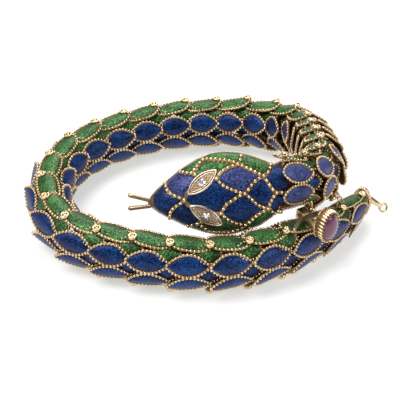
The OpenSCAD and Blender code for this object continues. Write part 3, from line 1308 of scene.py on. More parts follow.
    def hinge(self, pile: Pile, shop: Workshop, joint: Place, size: float, flare: float) -> None:
        """Adds the two pins of a hinge and the tubular bosses over them.

        Args:
            pile: Pile to add to.
            shop: Node trees that set them.
            joint: Place of the hinge.
            size: Size of the body there.
            flare: How much wider the scale tips stand open.
        """
        top = self.tip[1] * size + flare + self.proud
        foot = (self.frame[1] - self.wall) * size
        radius = self.boss_radius(size)
        tall = size + 0.1
        boss = [
            (0, 0), (radius, 0), (radius, tall - 0.16), (radius - 0.05, tall - 0.05), (radius - 0.16, tall),
            (radius - 0.44, tall), (radius - 0.54, tall - 0.08), (radius - 0.58, tall - 0.3), (0, tall - 0.4),
        ]
        pin = [(0, foot), (self.pin, foot), (self.pin, top - 0.5), (0, top - 0.5)]
        axis = joint.turn[:, 2]
        out = self.hinge_out * size
        for profile, sides, away in ((boss, 24, top - size), (pin, 12, 0)):
            spots = [(joint([0, out, side * away]), axis * side, 1.0) for side in (1, -1)]
            shop.copies(pile, lathe(profile, sides), spots)

    def build(self, shop: Workshop) -> Pile:
        """Builds the link.

        Args:
            shop: Node trees for the beads and the bosses.

        Returns:
            Its faces.
        """
        pile = Pile()
        here, ahead = self.coil.sizes[self.index : self.index + 2]
        self.frame_ring(pile, self.coil.link(self.index), here)
        both = (self.large_scales(), self.small_scales())
        for scale in both[0] + both[1]:
            self.plate_and_enamel(pile, scale)
        for scales in both:
            kind, size = scales[0].kind, scales[0].size
            shop.beads(pile, [self.bead_path(scale) for scale in scales], kind.bead * size, kind.pitch * size)
        self.hinge(pile, shop, self.coil.joint(self.index + 1), ahead, self.coil.steps[self.index].flare)
        return pile

    def plate_and_enamel(self, pile: Pile, scale: Scale) -> None:
        """Adds the gold plate of a scale and its plaque of enamel.

        Args:
            pile: Pile to add to.
            scale: The scale.
        """
        kind, leaf = scale.kind, scale.leaf
        plate_share, foot_share, sunk = 0.42, 0.4, 0.02
        thick, border = self.thick * scale.size, kind.border * scale.size
        plate = plate_share * thick
        finer = (kind.grid[0], kind.grid[1] + 2)
        enamel = leaf.solid(border, finer, foot_share * plate, plate - sunk, kind.dome * thick)
        # The plate under the beads and the enamel takes the darker gold as painted shade between them
        pile.add(leaf.solid(0, kind.grid, 0, plate), Finish.TONED_GOLD, scale.place)
        pile.add(enamel, scale.finish, scale.place)

    def bead_path(self, scale: Scale) -> Path:
        """Path of the beads around a scale.

        Args:
            scale: The scale.

        Returns:
            The path.
        """
        inset_share, sunk_share, points = 0.35, 0.9, 40
        bead = scale.kind.bead * scale.size
        inset, height = inset_share * bead, self.thick * scale.size - sunk_share * bead
        edge = scale.place(scale.leaf.edge(inset, height, points))
        if scale.kind == LARGE and scale.finish == Finish.GREEN:
            return self.open_edge(edge)
        return edge, True


# Head


# Stands for the side of the head in a line of beads
AT_SIDE = 99.0


@dataclass
class Head:
    """The head: a gold shell with enamelled cells between bead lines, two jewelled eyes and a forked tongue.

    Attributes:
        place: Place of its hinge: x towards the snout, y out of its top, z across.
        size: Size of the body at the hinge.
        length: Its length.
        drawn_length: Length at which the sections are given.
        sections: Distance from the hinge, half width, height, depth and sideways shift.
        side_reach: How far the lines and cells reach past the side of the head.
        inset: Width of the gold left around a cell.
        flank_inset: The same for the two long cells on its sides.
        beads: Radius and pitch of the beads between the cells.
        rim_beads: Radius and pitch of the beads along its sides.
        ring_front: How far the frame ring of its hinge reaches ahead.
        eye_along: Distance of the eyes from the hinge.
        eye_side: Distance of the upper and the lower eye from the middle.
        eye_turn: Their turns in the plan of the head, in degrees.
        eye_lean: Their lean to the side, in degrees.
        eye_dip: Their dip towards the snout, in degrees.
        eye_top: Height of the head's middle at the eyes.
        eye_half: Half width of the head at the eyes.
        eye_length: Length of a setting.
        eye_width: Width of a setting.
        lines: Points of each line of beads, as distances from the hinge and from the middle.
    """

    place: Place
    size: float
    length: float = 29.2
    drawn_length: float = 30.0
    sections: tuple[tuple[float, float, float, float, float], ...] = (
        (-1.2, 4.4, 3.5, 3.0, 0.2),
        (0, 4.7, 3.8, 3.1, 0.4),
        (1.3, 4.9, 4.1, 3.3, 0.65),
        (3, 6.3, 4.4, 3.6, 1.0),
        (6, 7.8, 4.7, 3.8, 1.0),
        (9, 8.7, 4.9, 3.8, 0.8),
        (12, 9.2, 5.1, 3.8, 0.7),
        (15, 9.1, 5.1, 3.8, 0.7),
        (18.5, 8.2, 4.8, 3.6, 0.7),
        (22.5, 6.4, 4.2, 3.3, 0.7),
        (26.5, 3.9, 3.1, 2.6, 0.7),
        (28.7, 2.4, 2.2, 1.9, 0.7),
        (30, 1.2, 1.1, 1.0, 0.7),
    )
    side_reach: float = 0.25
    inset: float = 0.38
    flank_inset: float = 0.34
    beads: tuple[float, float] = (0.45, 1.02)
    rim_beads: tuple[float, float] = (0.22, 0.5)
    ring_front: float = 1.6
    eye_along: float = 17.2
    eye_side: tuple[float, float] = (3.35, 4.0)
    eye_turn: tuple[float, float] = (33.0, 38.0)
    eye_lean: tuple[float, float] = (13.0, 15.0)
    eye_dip: float = 5.0
    eye_top: float = 4.85
    eye_half: float = 8.7
    eye_length: float = 8.6
    eye_width: float = 3.6
    lines: dict[str, list[tuple[float, float]]] = field(
        default_factory=lambda: {
            "snout": [(25.6, AT_SIDE), (25.1, 2.5), (24.5, 1.75), (23.6, 1.15), (22.6, 0.7), (21.6, 0.1)],
            "cheek": [(22.6, AT_SIDE), (21.2, 5.9), (20.2, 5.7), (19.3, 5.55), (18.5, 5.2)],
            "brow": [
                (19.3, 5.55), (18.3, 6.4), (17.5, 7.2), (17.0, 7.7), (16.2, 8.2), (13.5, 8.5), (11.5, 8.2),
                (10.4, 7.9), (9.5, 7.5), (9.0, 7.1),
            ],
            "outer_front": [
                (9.0, 7.1), (10.25, 6.75), (11.15, 6.4), (11.9, 5.95), (12.65, 5.35), (13.3, 4.6),
                (13.95, 3.8),
            ],
            "inner_front": [
                (13.95, 3.8), (13.3, 2.9), (12.5, 2.0), (11.5, 1.45), (10.5, 0.9), (9.65, 0.45), (8.2, 0),
            ],
            "outer_back": [(9.0, 7.1), (7.9, 6.45), (7.05, 5.7), (6.2, 5.0), (5.3, 4.4), (3.65, 3.6)],
            "inner_back": [(8.2, 0), (7.1, 1.05), (6.45, 1.9), (5.7, 2.6), (4.9, 3.1), (3.65, 3.6)],
            "nape": [(3.65, 3.6), (3.1, 2.5), (2.5, 1.4), (1.95, 0.6), (1.3, 0)],
            "neck": [(3.65, 3.6), (3.0, 4.0), (2.4, 4.7), (1.6, AT_SIDE)],
            "spine": [(1.3, 0), (-1.1, 0)],
            "side": [(9.0, 7.1), (8.4, 7.8), (7.8, AT_SIDE)],
        }
    )

    @property
    def shift(self) -> float:
        """Sideways shift of the front half of the head."""
        return self.sections[-1][4]

    def section(self, x: Array) -> list[Array]:
        """Section of the head.

        Args:
            x: Distance from the hinge.

        Returns:
            Half width, height, depth and sideways shift there.
        """
        rows = np.array(self.sections)
        along = np.asarray(x) * self.drawn_length / self.length
        return [np.interp(along, rows[:, 0], rows[:, k]) for k in (1, 2, 3, 4)]

    def surface(self, flat: Array, under: bool, lift: Array | float) -> Array:
        """Points on the head.

        Args:
            flat: Distance from the hinge and from the middle of the section of each point.
            under: Whether the points are on the underside.
            lift: How far they stand off the surface.

        Returns:
            The points in the part's frame.
        """
        x, z = flat[..., 0], flat[..., 1]
        outermost, step = 0.995, 0.4
        level, sign = (2, -1.0) if under else (1, 1.0)
        middle, ahead, behind = self.section(x), self.section(x + step), self.section(x - step)
        half, tall = middle[0], middle[level]
        half_slope = (ahead[0] - behind[0]) / (2 * step)
        tall_slope = (ahead[level] - behind[level]) / (2 * step)
        s = np.clip(z / half, -outermost, outermost)
        c = np.sqrt(1 - s * s)
        point = np.stack([x, sign * tall * c, half * s - middle[3]], -1)
        lean = -(tall_slope * c * c / tall + half_slope * s * s / half)
        normal = np.stack([lean, sign * c / tall, s / half], -1)
        normal /= np.linalg.norm(normal, axis=-1, keepdims=True)
        return self.place(point + normal * np.broadcast_to(lift, x.shape)[..., None])

    def line(self, name: str, mirror: bool) -> Array:
        """Points of a named line in the plan of the head.

        Args:
            name: Name of the line, after a minus sign if it runs backwards.
            mirror: Whether it is on the other side.

        Returns:
            Distance from the hinge and from the section's middle of each point.
        """
        x, away = np.array(self.lines[name.lstrip("-")], float).T
        reach = self.section(x)[0] + self.side_reach
        # The pattern's middle lies a little to one side of the section's, more so towards the neck
        middle = -0.1 - 0.07 * np.maximum(0, 7 - x) - 0.25 * np.maximum(0, 3.5 - x)
        if not mirror:
            # The outer lines of the upper side lie nearer the middle towards the neck
            middle = middle - 0.8 * np.clip((away - 5) / 2, 0, 1) * np.clip((16 - x) / 3, 0, 1)
        side = -1.0 if mirror else 1.0
        z = np.clip(np.where(away == AT_SIDE, side * reach, side * away + middle), -reach, reach)
        points = np.stack([x, z], -1)
        return points[::-1] if name.startswith("-") else points

    def chain(self, mirror: bool, *parts: str | Array | list[tuple[float, float]]) -> Array:
        """Joins named lines and points of one side into a chain.

        Args:
            mirror: Whether they are on the other side.
            parts: Names of lines, rows of finished points, or a list of points to be mirrored.

        Returns:
            The points of the chain.
        """
        side = [1.0, -1.0 if mirror else 1.0]
        rows = []
        for part in parts:
            if isinstance(part, str):
                rows.append(self.line(part, mirror))
            else:
                rows.append(part if isinstance(part, np.ndarray) else np.array(part) * side)
        return np.concatenate(rows)

    def rim(self, start: float, end: float, mirror: bool, count: int = 12) -> Array:
        """Points along the side of the head between two distances from the hinge."""
        x = np.linspace(start, end, count)
        return np.stack([x, (self.section(x)[0] + self.side_reach) * (-1 if mirror else 1)], -1)

    @staticmethod
    def walk(points: Array, count: int) -> Array:
        """Spaces points evenly along a line.

        Args:
            points: Points of the line, in the plan of the head.
            count: Number of points wanted.

        Returns:
            The new points.
        """
        steps = np.linalg.norm(np.diff(points, axis=0), axis=1)
        far = np.concatenate([[0], np.cumsum(np.maximum(steps, 1e-6))])
        t = np.linspace(0, far[-1], count)
        return np.stack([np.interp(t, far, points[:, k]) for k in (0, 1)], -1)

    def cell(self, pile: Pile, finish: Finish, chains: list[Array], under: bool, inset: float) -> None:
        """Adds an enamelled cell between two chains of points that share their ends.

        Args:
            pile: Pile to add to.
            finish: Its enamel.
            chains: Points on its two sides.
            under: Whether it is on the underside.
            inset: Width of the gold left around it.
        """
        samples, rows, columns = 160, 28, 9
        foot, edge, dome, narrowest, tiny = -0.25, 0.02, 0.2, 0.1, 1e-6
        one, two = (self.walk(chain, samples) for chain in chains)
        width = np.linalg.norm(two - one, axis=1)
        across = (two - one) / np.maximum(width, tiny)[:, None]
        cuts = []
        for side in (one, two):
            tangent = np.gradient(side, axis=0)
            tangent /= np.maximum(np.linalg.norm(tangent, axis=1), tiny)[:, None]
            normal = np.stack([-tangent[:, 1], tangent[:, 0]], -1)
            cuts.append(inset / np.maximum(0.4, np.abs((normal * across).sum(1))))
        inside = np.where(width - cuts[0] - cuts[1] > narrowest)[0]
        ease = (1 - np.cos(np.linspace(0, math.pi, rows))) / 2
        pick = np.round(inside[0] + (inside[-1] - inside[0]) * ease).astype(int)
        start = one[pick] + across[pick] * cuts[0][pick, None]
        end = two[pick] - across[pick] * cuts[1][pick, None]
        v = np.linspace(0, 1, columns)
        flat = start[:, None] + (end - start)[:, None] * v[None, :, None]
        crown = np.sin(np.linspace(0, math.pi, rows))[:, None] ** 0.6
        crown = crown * (1 - np.abs(2 * v - 1)[None, :] ** 2.6)
        top = self.surface(flat, under, edge + dome * crown)
        bottom = self.surface(flat, under, foot)
        points, faces = grid_solid(top, bottom)
        i, j = rows // 2, columns // 2
        facing = np.cross(top[i + 1, j] - top[i, j], top[i, j + 1] - top[i, j]) @ (top[i, j] - bottom[i, j])
        pile.add((points, faces if facing > 0 else faces[:, ::-1]), finish)

    def cells(self, pile: Pile, under: bool) -> None:
        """Adds the enamelled cells of one face of the head.

        Args:
            pile: Pile to add to.
            under: Whether it is the underside.
        """
        rim, chain = self.rim, self.chain
        nose = np.concatenate([rim(25.6, 29, False), rim(29, 25.6, True)])
        muzzle = [chain(False, "snout", self.line("-snout", True)), nose]
        self.cell(pile, Finish.BLUE, muzzle, under, self.inset)
        kite, nape = [], []
        for mirror in (False, True):
            # Cells on the upper face take the lighter blue, a painted sheen from the lights above
            upper_sheen_finish = Finish.BLUE if mirror or under else Finish.LILAC
            corner = self.line("snout", mirror)[-1:]
            temple = self.line("brow", mirror)[:1]
            jaw = self.line("cheek", mirror)[:-1]
            ahead, beside, behind = [(20.6, 1.6)], [(17.6, 3.7)], [(15.2, 4.4)]
            # Finish of each cell, parts of its two chains, and its inset
            table = (
                (upper_sheen_finish, ("-snout", rim(25.5, 22.6, mirror)), (corner, ahead, beside, "-cheek"), self.inset),
                (Finish.GREEN, ("brow",), (temple, beside, behind, "-outer_front"), self.inset),
                (Finish.GREEN, (jaw, "brow", "side"), (rim(22.5, 7.8, mirror, 30),), self.flank_inset),
                (Finish.GREEN, ("-side", "outer_back", "neck"), (rim(7.8, 1.6, mirror),), self.inset),
                (upper_sheen_finish, ("-outer_front", "outer_back"), ("inner_front", "inner_back"), self.inset),
                (Finish.BLUE, ("neck", rim(1.5, -1.1, mirror, 4)), ("nape", "spine"), self.inset),
            )
            for finish, one, two, inset in table:
                self.cell(pile, finish, [chain(mirror, *one), chain(mirror, *two)], under, inset)
            kite.append(chain(mirror, corner, [(20.6, 1.3), (16.6, 3.7)], "inner_front"))
            nape.append(chain(mirror, "inner_back", "nape"))
        for sides in (kite, nape):
            self.cell(pile, Finish.BLUE, sides, under, self.inset)

    def shell(self, pile: Pile) -> None:
        """Adds the gold shell, which ends in a small round snout.

        Args:
            pile: Pile to add to.
        """
        sides, even_rings = 48, 30
        a = angles(sides)
        rows = [row[0] * self.length / self.drawn_length for row in self.sections]
        x = np.unique(np.concatenate([rows, np.linspace(rows[0], rows[-1], even_rings)]))
        snout = [(x[-1] + 0.21, 0.8), (x[-1] + 0.36, 0.45)]
        rings = []
        for at, grow in [(at, 1.0) for at in x] + snout:
            half, top, bottom, shift = (float(value) for value in self.section(min(at, x[-1])))
            y = np.where(np.cos(a) > 0, top, bottom) * np.cos(a) * grow
            rings.append(np.stack([np.full(sides, at), y, half * np.sin(a) * grow - shift], -1))
        # The shell between the bead lines and the cells takes the darker gold as painted shade
        pile.add(stack(rings), Finish.TONED_GOLD, self.place)

    def bead_lines(self) -> list[Path]:
        """Draws the lines between the cells, on both faces of the head.

        Returns:
            Their paths.
        """
        points, widest, lift = 26, 0.93, 0.2
        found = []
        for under in (False, True):
            for name in self.lines:
                for mirror in (False, True):
                    flat = self.walk(self.line(name, mirror), points)
                    flat = flat[np.abs(flat[:, 1]) < widest * self.section(flat[:, 0])[0]]
                    found.append((self.surface(flat, under, lift), False))
        return found

    def rim_lines(self) -> list[Path]:
        """Draws the lines along both sides of the head.

        Returns:
            Their paths.
        """
        start, end, points, lift = 1.5, 29.1, 60, 0.05
        rims = [self.rim(start, end, mirror, points) for mirror in (False, True)]
        return [(self.surface(flat, False, lift), False) for flat in rims]

    def build(self, shop: Workshop, frame_link: Link) -> Pile:
        """Builds the head without its eyes and tongue.

        Args:
            shop: Node trees for the beads.
            frame_link: A link, which lends the head its frame ring.

        Returns:
            Its faces.
        """
        pile = Pile()
        self.shell(pile)
        frame_link.frame_ring(pile, self.place, self.size, self.ring_front)
        for under in (False, True):
            self.cells(pile, under)
        shop.beads(pile, self.bead_lines(), *self.beads)
        shop.beads(pile, self.rim_lines(), *self.rim_beads)
        return pile

    def eye(self, side: int) -> Place:
        """Place of an eye on the surface: x along it, z away from the head.

        Args:
            side: 1 for the upper eye and -1 for the lower one.

        Returns:
            Its place.
        """
        k = 0 if side > 0 else 1
        top = self.eye_top * math.sqrt(1 - (self.eye_side[k] / self.eye_half) ** 2)
        return self.place.at(
            (self.eye_along, top, side * self.eye_side[k] - self.shift),
            turn_x(side * self.eye_lean[k] - 90),
            turn_y(self.eye_dip),
            turn_z(side * self.eye_turn[k]),
        )

    def setting(self, shop: Workshop, side: int) -> Pile:
        """Builds the setting of an eye: a marquise plate with two rims, grains and four prongs.

        Args:
            shop: Node trees for the rims and the grains.
            side: 1 for the upper eye and -1 for the lower one.

        Returns:
            Its faces.
        """
        pile = Pile()
        eye = self.eye(side)
        up = eye.turn[:, 2]
        leaf = Leaf(self.eye_length, self.eye_width)
        place = eye.at((-self.eye_length / 2, 0, 0))
        pile.add(leaf.solid(0, (21, 7), -0.5, 0.2), Finish.WHITE_GOLD, place)
        # The recessed floor inside the rims takes the darker gold as painted shade
        pile.add(leaf.solid(0.25, (21, 7), 0.12, 0.22), Finish.TONED_GOLD, place)
        for inset, height, radius, sides in ((0.22, 0.28, 0.22, 8), (0.72, 0.27, 0.13, 6)):
            shop.wire(pile, (place(leaf.edge(inset, height, 28)), True), radius, sides, Finish.WHITE_GOLD)
        grain = lathe([(0, -0.1), (0.26, -0.1), (0.26, 0.12), (0.2, 0.24), (0.1, 0.3), (0, 0.32)], 10)
        grains = ((1.35, 0.3, 0.8), (1.35, -0.3, 0.8), (1.9, 0, 0.85), (2.45, 0, 0.6))
        spots = [(eye([x * end, y * end, 0.16]), up, size) for end in (1, -1) for x, y, size in grains]
        spots += [(eye([x, y, 0.3]), up, 0.8) for x in (-0.66, 0.66) for y in (-0.6, 0.6)]
        shop.copies(pile, grain, spots, Finish.WHITE_GOLD)
        return pile

    def stone(self, side: int) -> Pile:
        """Builds a round brilliant: table, crown, girdle and pavilion in flat facets.

        Args:
            side: 1 for the upper eye and -1 for the lower one.

        Returns:
            Its faces.
        """
        pile = Pile()
        sides = 8
        culet = oval(0.12, 0.12, -0.1, sides)
        girdle = [oval(radius, radius, z, 2 * sides) for radius, z in ((0.82, 0.34), (0.84, 0.38))]
        table = oval(0.42, 0.42, 0.66, sides) @ turn_z(180 / sides).T
        points = np.concatenate([culet, *girdle, table])
        first = 5 * sides
        faces: list[list[int]] = [list(range(sides - 1, -1, -1)), list(range(first, first + sides))]
        for k in range(sides):
            n = (k + 1) % sides
            ring = [sides + (2 * k + step) % (2 * sides) for step in (0, 1, 2)]
            a, b, c = ring
            d, e, f = (2 * sides + number for number in ring)
            t, u = first + k, first + n
            faces += [[k, b, a], [k, n, b], [n, c, b]]
            faces += [[a, b, e, d], [b, c, f, e]]
            faces += [[d, e, t], [e, f, t], [f, u, t]]
        pile.add((points, faces), Finish.DIAMOND, self.eye(side), smooth=False)
        return pile

    def tongue(self, shop: Workshop) -> Pile:
        """Builds the forked tongue: a round stem and two tines that swell and end in a point.

        Args:
            shop: Node trees for the stem.

        Returns:
            Its faces.
        """
        pile = Pile()
        root = self.place.at((self.length - 5, -0.2, -self.shift))
        stem = root(np.array([[x, 0, -0.25] for x in (0.3, 3, 5.8)]))
        shop.wire(pile, (stem, False), 0.45, 14, Finish.GREY_GOLD)
        swelling = [(0.48, 0), (0.5, 3.0), (0.56, 4.2), (0.5, 4.75), (0.26, 5.0), (0, 5.05)]
        tine = lathe([(0, -0.3), (0.38, -0.25), *swelling], 14)
        for side in (0, 1):
            pile.add(tine, Finish.GREY_GOLD, root.at((5.4, 0, 1.3 * side - 0.9), turn_y(89 - 21 * side)))
        return pile


# Tail, clasp and safety chain


@dataclass
class Tail:
    """Tail tip: a collar, a drooping tapered arm and a small ring.

    Attributes:
        joint: Place of its hinge.
        size: Size of the body there.
        arm: Length of the arm.
        bore: Radius of the ring's hole.
    """

    joint: Place
    size: float
    arm: float = 6.2
    bore: float = 0.7

    def build(self, shop: Workshop, frame_link: Link) -> Pile:
        """Builds the tail tip.

        Args:
            shop: Node trees for the beads and the ring.
            frame_link: A link, which lends the tail its hinge.

        Returns:
            Its faces.
        """
        pile = Pile()
        frame_link.hinge(pile, shop, self.joint, self.size, 0.0)
        rim = frame_link.tip[1] * self.size + frame_link.proud
        self.collar(pile, shop, rim)
        out = frame_link.hinge_out * self.size
        for side in (1, -1):
            middle, half = side * (rim - self.size / 2), self.size / 2
            cheek = box_solid((-2.3, out - 0.6, middle - half), (-0.1, out + 0.6, middle + half), 0.12)
            pile.add(cheek, Finish.GOLD, self.joint)
        knob = [(0.7 * math.sin(a), -0.7 * math.cos(a)) for a in np.linspace(0, math.pi, 11)]
        pile.add(lathe(knob, 16), Finish.GOLD, self.joint.at((-1.6, 0.6, rim - 0.1)))
        arm = self.joint.at((-2, 0.2, 2.4), turn_z(-50), turn_y(-36))
        taper = [(0, -0.1), (0.5, -0.1), (0.58, 0), (0.68, 2.2), (0.8, 4.2), (0.95, self.arm), (0, self.arm)]
        pile.add(lathe(taper, 20), Finish.GOLD, arm.at((-self.arm, 0, 0), turn_y(90)))
        ring = arm.at((-self.arm - self.bore, 0, 0), turn_x(-66))
        radius = self.bore + 0.3
        shop.wire(pile, (ring(oval(radius, radius, 0, 36)), True), 0.29, 12)
        return pile

    def collar(self, pile: Pile, shop: Workshop, rim: float) -> None:
        """Adds the oval end plate with its row of beads, and the cone behind it.

        Args:
            pile: Pile to add to.
            shop: Node trees for the beads.
            rim: Half width of the plate.
        """
        plate = self.joint.at((-3, 0, 0), turn_y(90))
        profile = [(0.05, 0), (0.9, 0), (1, 0.1), (1, 1.1), (0.9, 1.2), (0.05, 1.2)]
        pile.add(stack([oval(rim * r, 2.3 * r, z, 40) for r, z in profile]), Finish.GOLD, plate)
        shop.beads(pile, [(plate(oval(rim - 0.1, 2.25, 1.1, 40)), True)], 0.26, 0.66)
        cone = lathe([(0, 0), (1.0, 0), (1.2, 0.1), (2, 0.9), (0, 0.9)], 32)
        pile.add(cone, Finish.GOLD, self.joint.at((-3.8, 0, 0), turn_y(90)))


@dataclass
class Clasp:
    """Clasp on a tail link: a box, its blade, and an oval ruby in a fluted bezel.

    Attributes:
        link: Place of the link that carries it.
        half: Half length and half width of the ruby.
        height: Height of the bezel.
        claws: Number of its claws.
    """

    link: Place
    half: tuple[float, float] = (3.5, 2.5)
    height: float = 2.6
    claws: int = 28

    def ruby_place(self) -> Place:
        """Place of the ruby: x along the stone, z away from the clasp."""
        return self.link.at((2.6, 4.8, 8.2), turn_z(12), turn_x(-90), turn_z(100))

    def ruby_oval(self, grow: float, z: float, sides: int) -> Array:
        """Ring of points around the ruby, wider than it by grow on every side."""
        return oval(self.half[0] + grow, self.half[1] + grow, z, sides)

    def box(self) -> Pile:
        """Builds the box with its open slot, and its stem through the scale below.

        Returns:
            Its faces.
        """
        pile = Pile()
        corners = (
            ((0.6, 0.75, 6.1), (4.2, 4.1, 8.3)),
            ((2.0, -2.0, 6.1), (4.2, 0.8, 6.95)),
            ((2.0, -2.0, 7.75), (4.2, 0.8, 8.3)),
            ((2.0, -2.0, 6.9), (4.2, -1.0, 7.8)),
            ((1.0, 3.0, 8.25), (4.2, 4.1, 9.2)),
        )
        for low, high in corners:
            pile.add(box_solid(low, high, 0.06), Finish.GREY_GOLD, self.link)
        stem = lathe([(0, 3.9), (0.6, 3.9), (0.6, 6.3), (0, 6.3)], 20)
        pile.add(stem, Finish.GREY_GOLD, self.link.at((3.4, 1.2, 0)))
        return pile

    def blade(self) -> Pile:
        """Builds the flat pointed blade with softened edges.

        Returns:
            Its faces.
        """
        pile = Pile()
        outline = [(0, -0.45), (4.8, -0.45), (7.3, -0.2), (7.3, 0.2), (4.8, 0.45), (0, 0.45)]
        rings = [
            np.array([[x - inset * np.sign(x - 4), y * (1 - inset), z] for x, y in outline])
            for z, inset in ((0, 0.06), (0.06, 0), (0.54, 0), (0.6, 0.06))
        ]
        place = self.link.at((2.8, -1.0, 7.05), turn_z(33))
        pile.add(stack(rings), Finish.GREY_GOLD, place, smooth=False)
        return pile

    def bezel(self, shop: Workshop) -> Pile:
        """Builds the coronet: a fluted wall of claws around a plain inner wall.

        Args:
            shop: Node trees for the claws and the foot wire.

        Returns:
            Its faces.
        """
        pile = Pile()
        place = self.ruby_place()
        lip = self.height - 0.4
        wall = (
            (0, 0), (0.3, 0), (0.38, 0.15), (0.44, self.height - 0.7), (0.4, lip), (0.14, lip), (0.14, 0.9),
            (0.05 - self.half[1], 0.9),
        )
        # The bezel's wall inside the claws takes the darker gold as painted shade
        pile.add(stack([self.ruby_oval(grow, z, 56) for grow, z in wall]), Finish.TONED_GOLD, place)
        claw = lathe([(0, -0.05), (0.22, 0), (0.25, 1.5), (0.24, 2.2), (0.15, 2.55), (0, 2.7)], 8)
        feet = place(self.ruby_oval(0.34, 0, self.claws))
        aims = place(self.ruby_oval(0.42, self.height, self.claws)) - feet
        aims /= np.linalg.norm(aims, axis=1, keepdims=True)
        shop.copies(pile, claw, [(foot, aim, 1.0) for foot, aim in zip(feet, aims)])
        shop.wire(pile, (place(self.ruby_oval(0.42, 0.12, 64)), True), 0.16, 8)
        pile.add(lathe([(0, -1.3), (0.45, -1.3), (0.45, 0.4), (0, 0.4)], 16), Finish.GOLD, place)
        return pile

    def ruby(self) -> Pile:
        """Builds the oval cabochon: a straight girdle under a low dome.

        Returns:
            Its faces.
        """
        pile = Pile()
        foot, girdle, dome, sides = 0.95, 2.05, 1.5, 48
        long, wide = self.half
        rings = [oval(long, wide, foot, sides)]
        for a in np.radians(np.linspace(0, 86, 12)):
            rings.append(oval(long * math.cos(a), wide * math.cos(a), girdle + dome * math.sin(a), sides))
        pile.add(stack(rings), Finish.RUBY, self.ruby_place())
        return pile


@dataclass
class SafetyChain:
    """Small wire rings between an eye on a neck link and an eye on a tail link.

    Attributes:
        coil: Path of the body.
        neck_link: Link with the first eye, from 0 at the tail.
        neck_at: Middle of the first eye on it.
        tail_link: Link with the last eye.
        tail_at: Middle of the last eye on it.
        count: Number of loose rings.
        wire: Radius of the wire.
        play: Room for the wire in a ring.
    """

    coil: Coil
    neck_link: int = 25
    neck_at: Point = (3, 1, -6.3)
    tail_link: int = 0
    tail_at: Point = (7.8, -0.5, 5)
    count: int = 3
    wire: float = 0.14
    play: float = 0.06

    def ring(self, shop: Workshop, pile: Pile, k: int) -> None:
        """Adds a ring; even and odd rings stand crosswise.

        Args:
            shop: Node trees for the wire.
            pile: Pile to add to.
            k: Its number, 0 for the first eye and count + 1 for the last.
        """
        start = self.coil.link(self.neck_link)(self.neck_at)
        end = self.coil.link(self.tail_link)(self.tail_at)
        step = (end - start) / (self.count + 1)
        length = np.linalg.norm(step)
        radius = length / 2 + self.wire + self.play
        lean = math.degrees(math.acos(step[2] / length))
        plan = math.degrees(math.atan2(step[1], step[0]))
        place = Place(start + step * k, turn_z(plan) @ turn_y(lean) @ turn_z(90 * k) @ turn_x(90))
        shop.wire(pile, (place(oval(radius, radius, 0, 28)), True), self.wire, 8)

    def eyes(self, shop: Workshop, pile: Pile, index: int) -> None:
        """Adds the eye of the chain that a link carries, if it carries one.

        Args:
            shop: Node trees for the wire.
            pile: Pile of the link.
            index: Number of the link.
        """
        for link, k in ((self.neck_link, 0), (self.tail_link, self.count + 1)):
            if index == link:
                self.ring(shop, pile, k)


# Studio


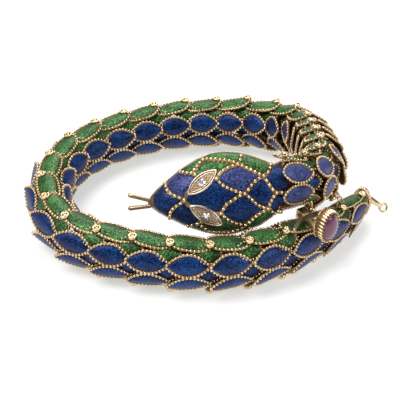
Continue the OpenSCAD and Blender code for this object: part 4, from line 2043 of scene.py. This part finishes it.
@dataclass(frozen=True)
class Studio:
    """Pale floor, soft lights and the camera.

    Attributes:
        target: Point that the camera looks at.
        elevation: Angle of the camera above the floor, in degrees.
        distance: Distance of the camera.
        lens: Its focal length.
        lamps: Name, place in metres, size in metres and power of each lamp.
        surround: Strength of the even light from all around.
    """

    target: Point = (-1.898, -5.336, 6.822)
    elevation: float = 37.0
    distance: float = 250.0
    lens: float = 94.5
    lamps: tuple[tuple[str, Point, float, float], ...] = (
        ("key", (-0.20, -0.10, 0.38), 0.24, 1.4),
        ("top", (0.02, 0.10, 0.40), 0.22, 0.45),
        ("fill", (0.30, -0.20, 0.22), 0.18, 0.5),
        ("back", (0.05, 0.34, 0.30), 0.24, 0.9),
    )
    surround: float = 0.16

    def build(self) -> None:
        """Sets everything up."""
        scene = bpy.context.scene
        scene.view_settings.view_transform = "Standard"
        self.floor()
        world = bpy.data.worlds.new("surround")
        world.use_nodes = True
        light = {"Color": (1, 1, 1, 1), "Strength": self.surround}
        feed(world.node_tree, world.node_tree.nodes["Background"], light)
        scene.world = world
        for name, place, size, power in self.lamps:
            lamp = bpy.data.lights.new(name, "AREA")
            lamp.size, lamp.energy = size, power
            self.aim(new_object(name, lamp), Vector(place))
        camera = bpy.data.cameras.new("camera")
        camera.lens, camera.sensor_width, camera.clip_start = self.lens, SENSOR, 0.01
        scene.camera = new_object("camera", camera)
        angle = math.radians(self.elevation)
        back = Vector((0, -math.cos(angle), math.sin(angle)))
        self.aim(scene.camera, (Vector(self.target) + back * self.distance) * MM)

    def aim(self, obj: bpy.types.Object, place: Vector) -> None:
        """Sets a lamp or the camera at a place in metres, facing the target."""
        obj.location = place
        obj.rotation_euler = (Vector(self.target) * MM - place).to_track_quat("-Z", "Y").to_euler()

    @staticmethod
    def floor() -> None:
        """Adds the floor, just under the bracelet."""
        half, level = 3.0, -0.0003
        mesh = bpy.data.meshes.new("floor")
        corners = [(-half, -half, level), (half, -half, level), (half, half, level), (-half, half, level)]
        mesh.from_pydata(corners, [], [(0, 1, 2, 3)])
        material, tree, shader = new_material("pale_floor")
        feed(tree, shader, {
            "Base Color": (0.6, 0.6, 0.6, 1),
            "Emission Color": (1, 1, 1, 1),
            "Emission Strength": 0.52,
            "Roughness": 0.9,
            "Specular IOR Level": 0.1,
        })
        mesh.materials.append(material)
        new_object("floor", mesh)


# Bracelet


def main() -> None:
    """Builds the bracelet piece by piece."""
    logging.basicConfig(level=logging.INFO, format="%(message)s")
    palette = make_palette()
    shop = Workshop(palette)
    coil = Coil()
    chain = SafetyChain(coil)
    links = [Link(index, coil) for index in range(coil.count)]
    for link in links:
        pile = link.build(shop)
        chain.eyes(shop, pile, link.index)
        name = f"link_{link.index + 1:02d}"
        pile.piece(f"snake_{name}", name, Slot.ENAMELLED, palette)
    head = Head(coil.head(), coil.sizes[-1])
    head.build(shop, links[-1]).piece("snake_head", "head", Slot.ENAMELLED, palette)
    head.tongue(shop).piece("forked_tongue", "tongue", Slot.GOLD, palette)
    for side, word in ((1, "upper"), (-1, "lower")):
        head.setting(shop, side).piece(f"eye_rim_{word}", f"eye_setting_{word}", Slot.WHITE_GOLD, palette)
        head.stone(side).piece(f"eye_brilliant_{word}", f"eye_stone_{word}", Slot.DIAMOND, palette)
    tail = Tail(coil.joint(0), coil.sizes[0])
    tail.build(shop, links[0]).piece("tail_end", "tail_tip", Slot.GOLD, palette)
    clasp_link = 2
    clasp = Clasp(coil.link(clasp_link))
    clasp.box().piece("clasp_housing", "clasp_box", Slot.GREY_GOLD, palette)
    clasp.blade().piece("clasp_tongue", "clasp_blade", Slot.GREY_GOLD, palette)
    clasp.bezel(shop).piece("ruby_coronet", "ruby_bezel", Slot.GOLD, palette)
    clasp.ruby().piece("ruby_cabochon", "ruby", Slot.RUBY, palette)
    for k in range(1, chain.count + 1):
        pile = Pile()
        chain.ring(shop, pile, k)
        pile.piece(f"safety_ring_{k}", f"chain_link_{k}", Slot.GOLD, palette)
    Studio().build()


if __name__ == "__main__":
    main()
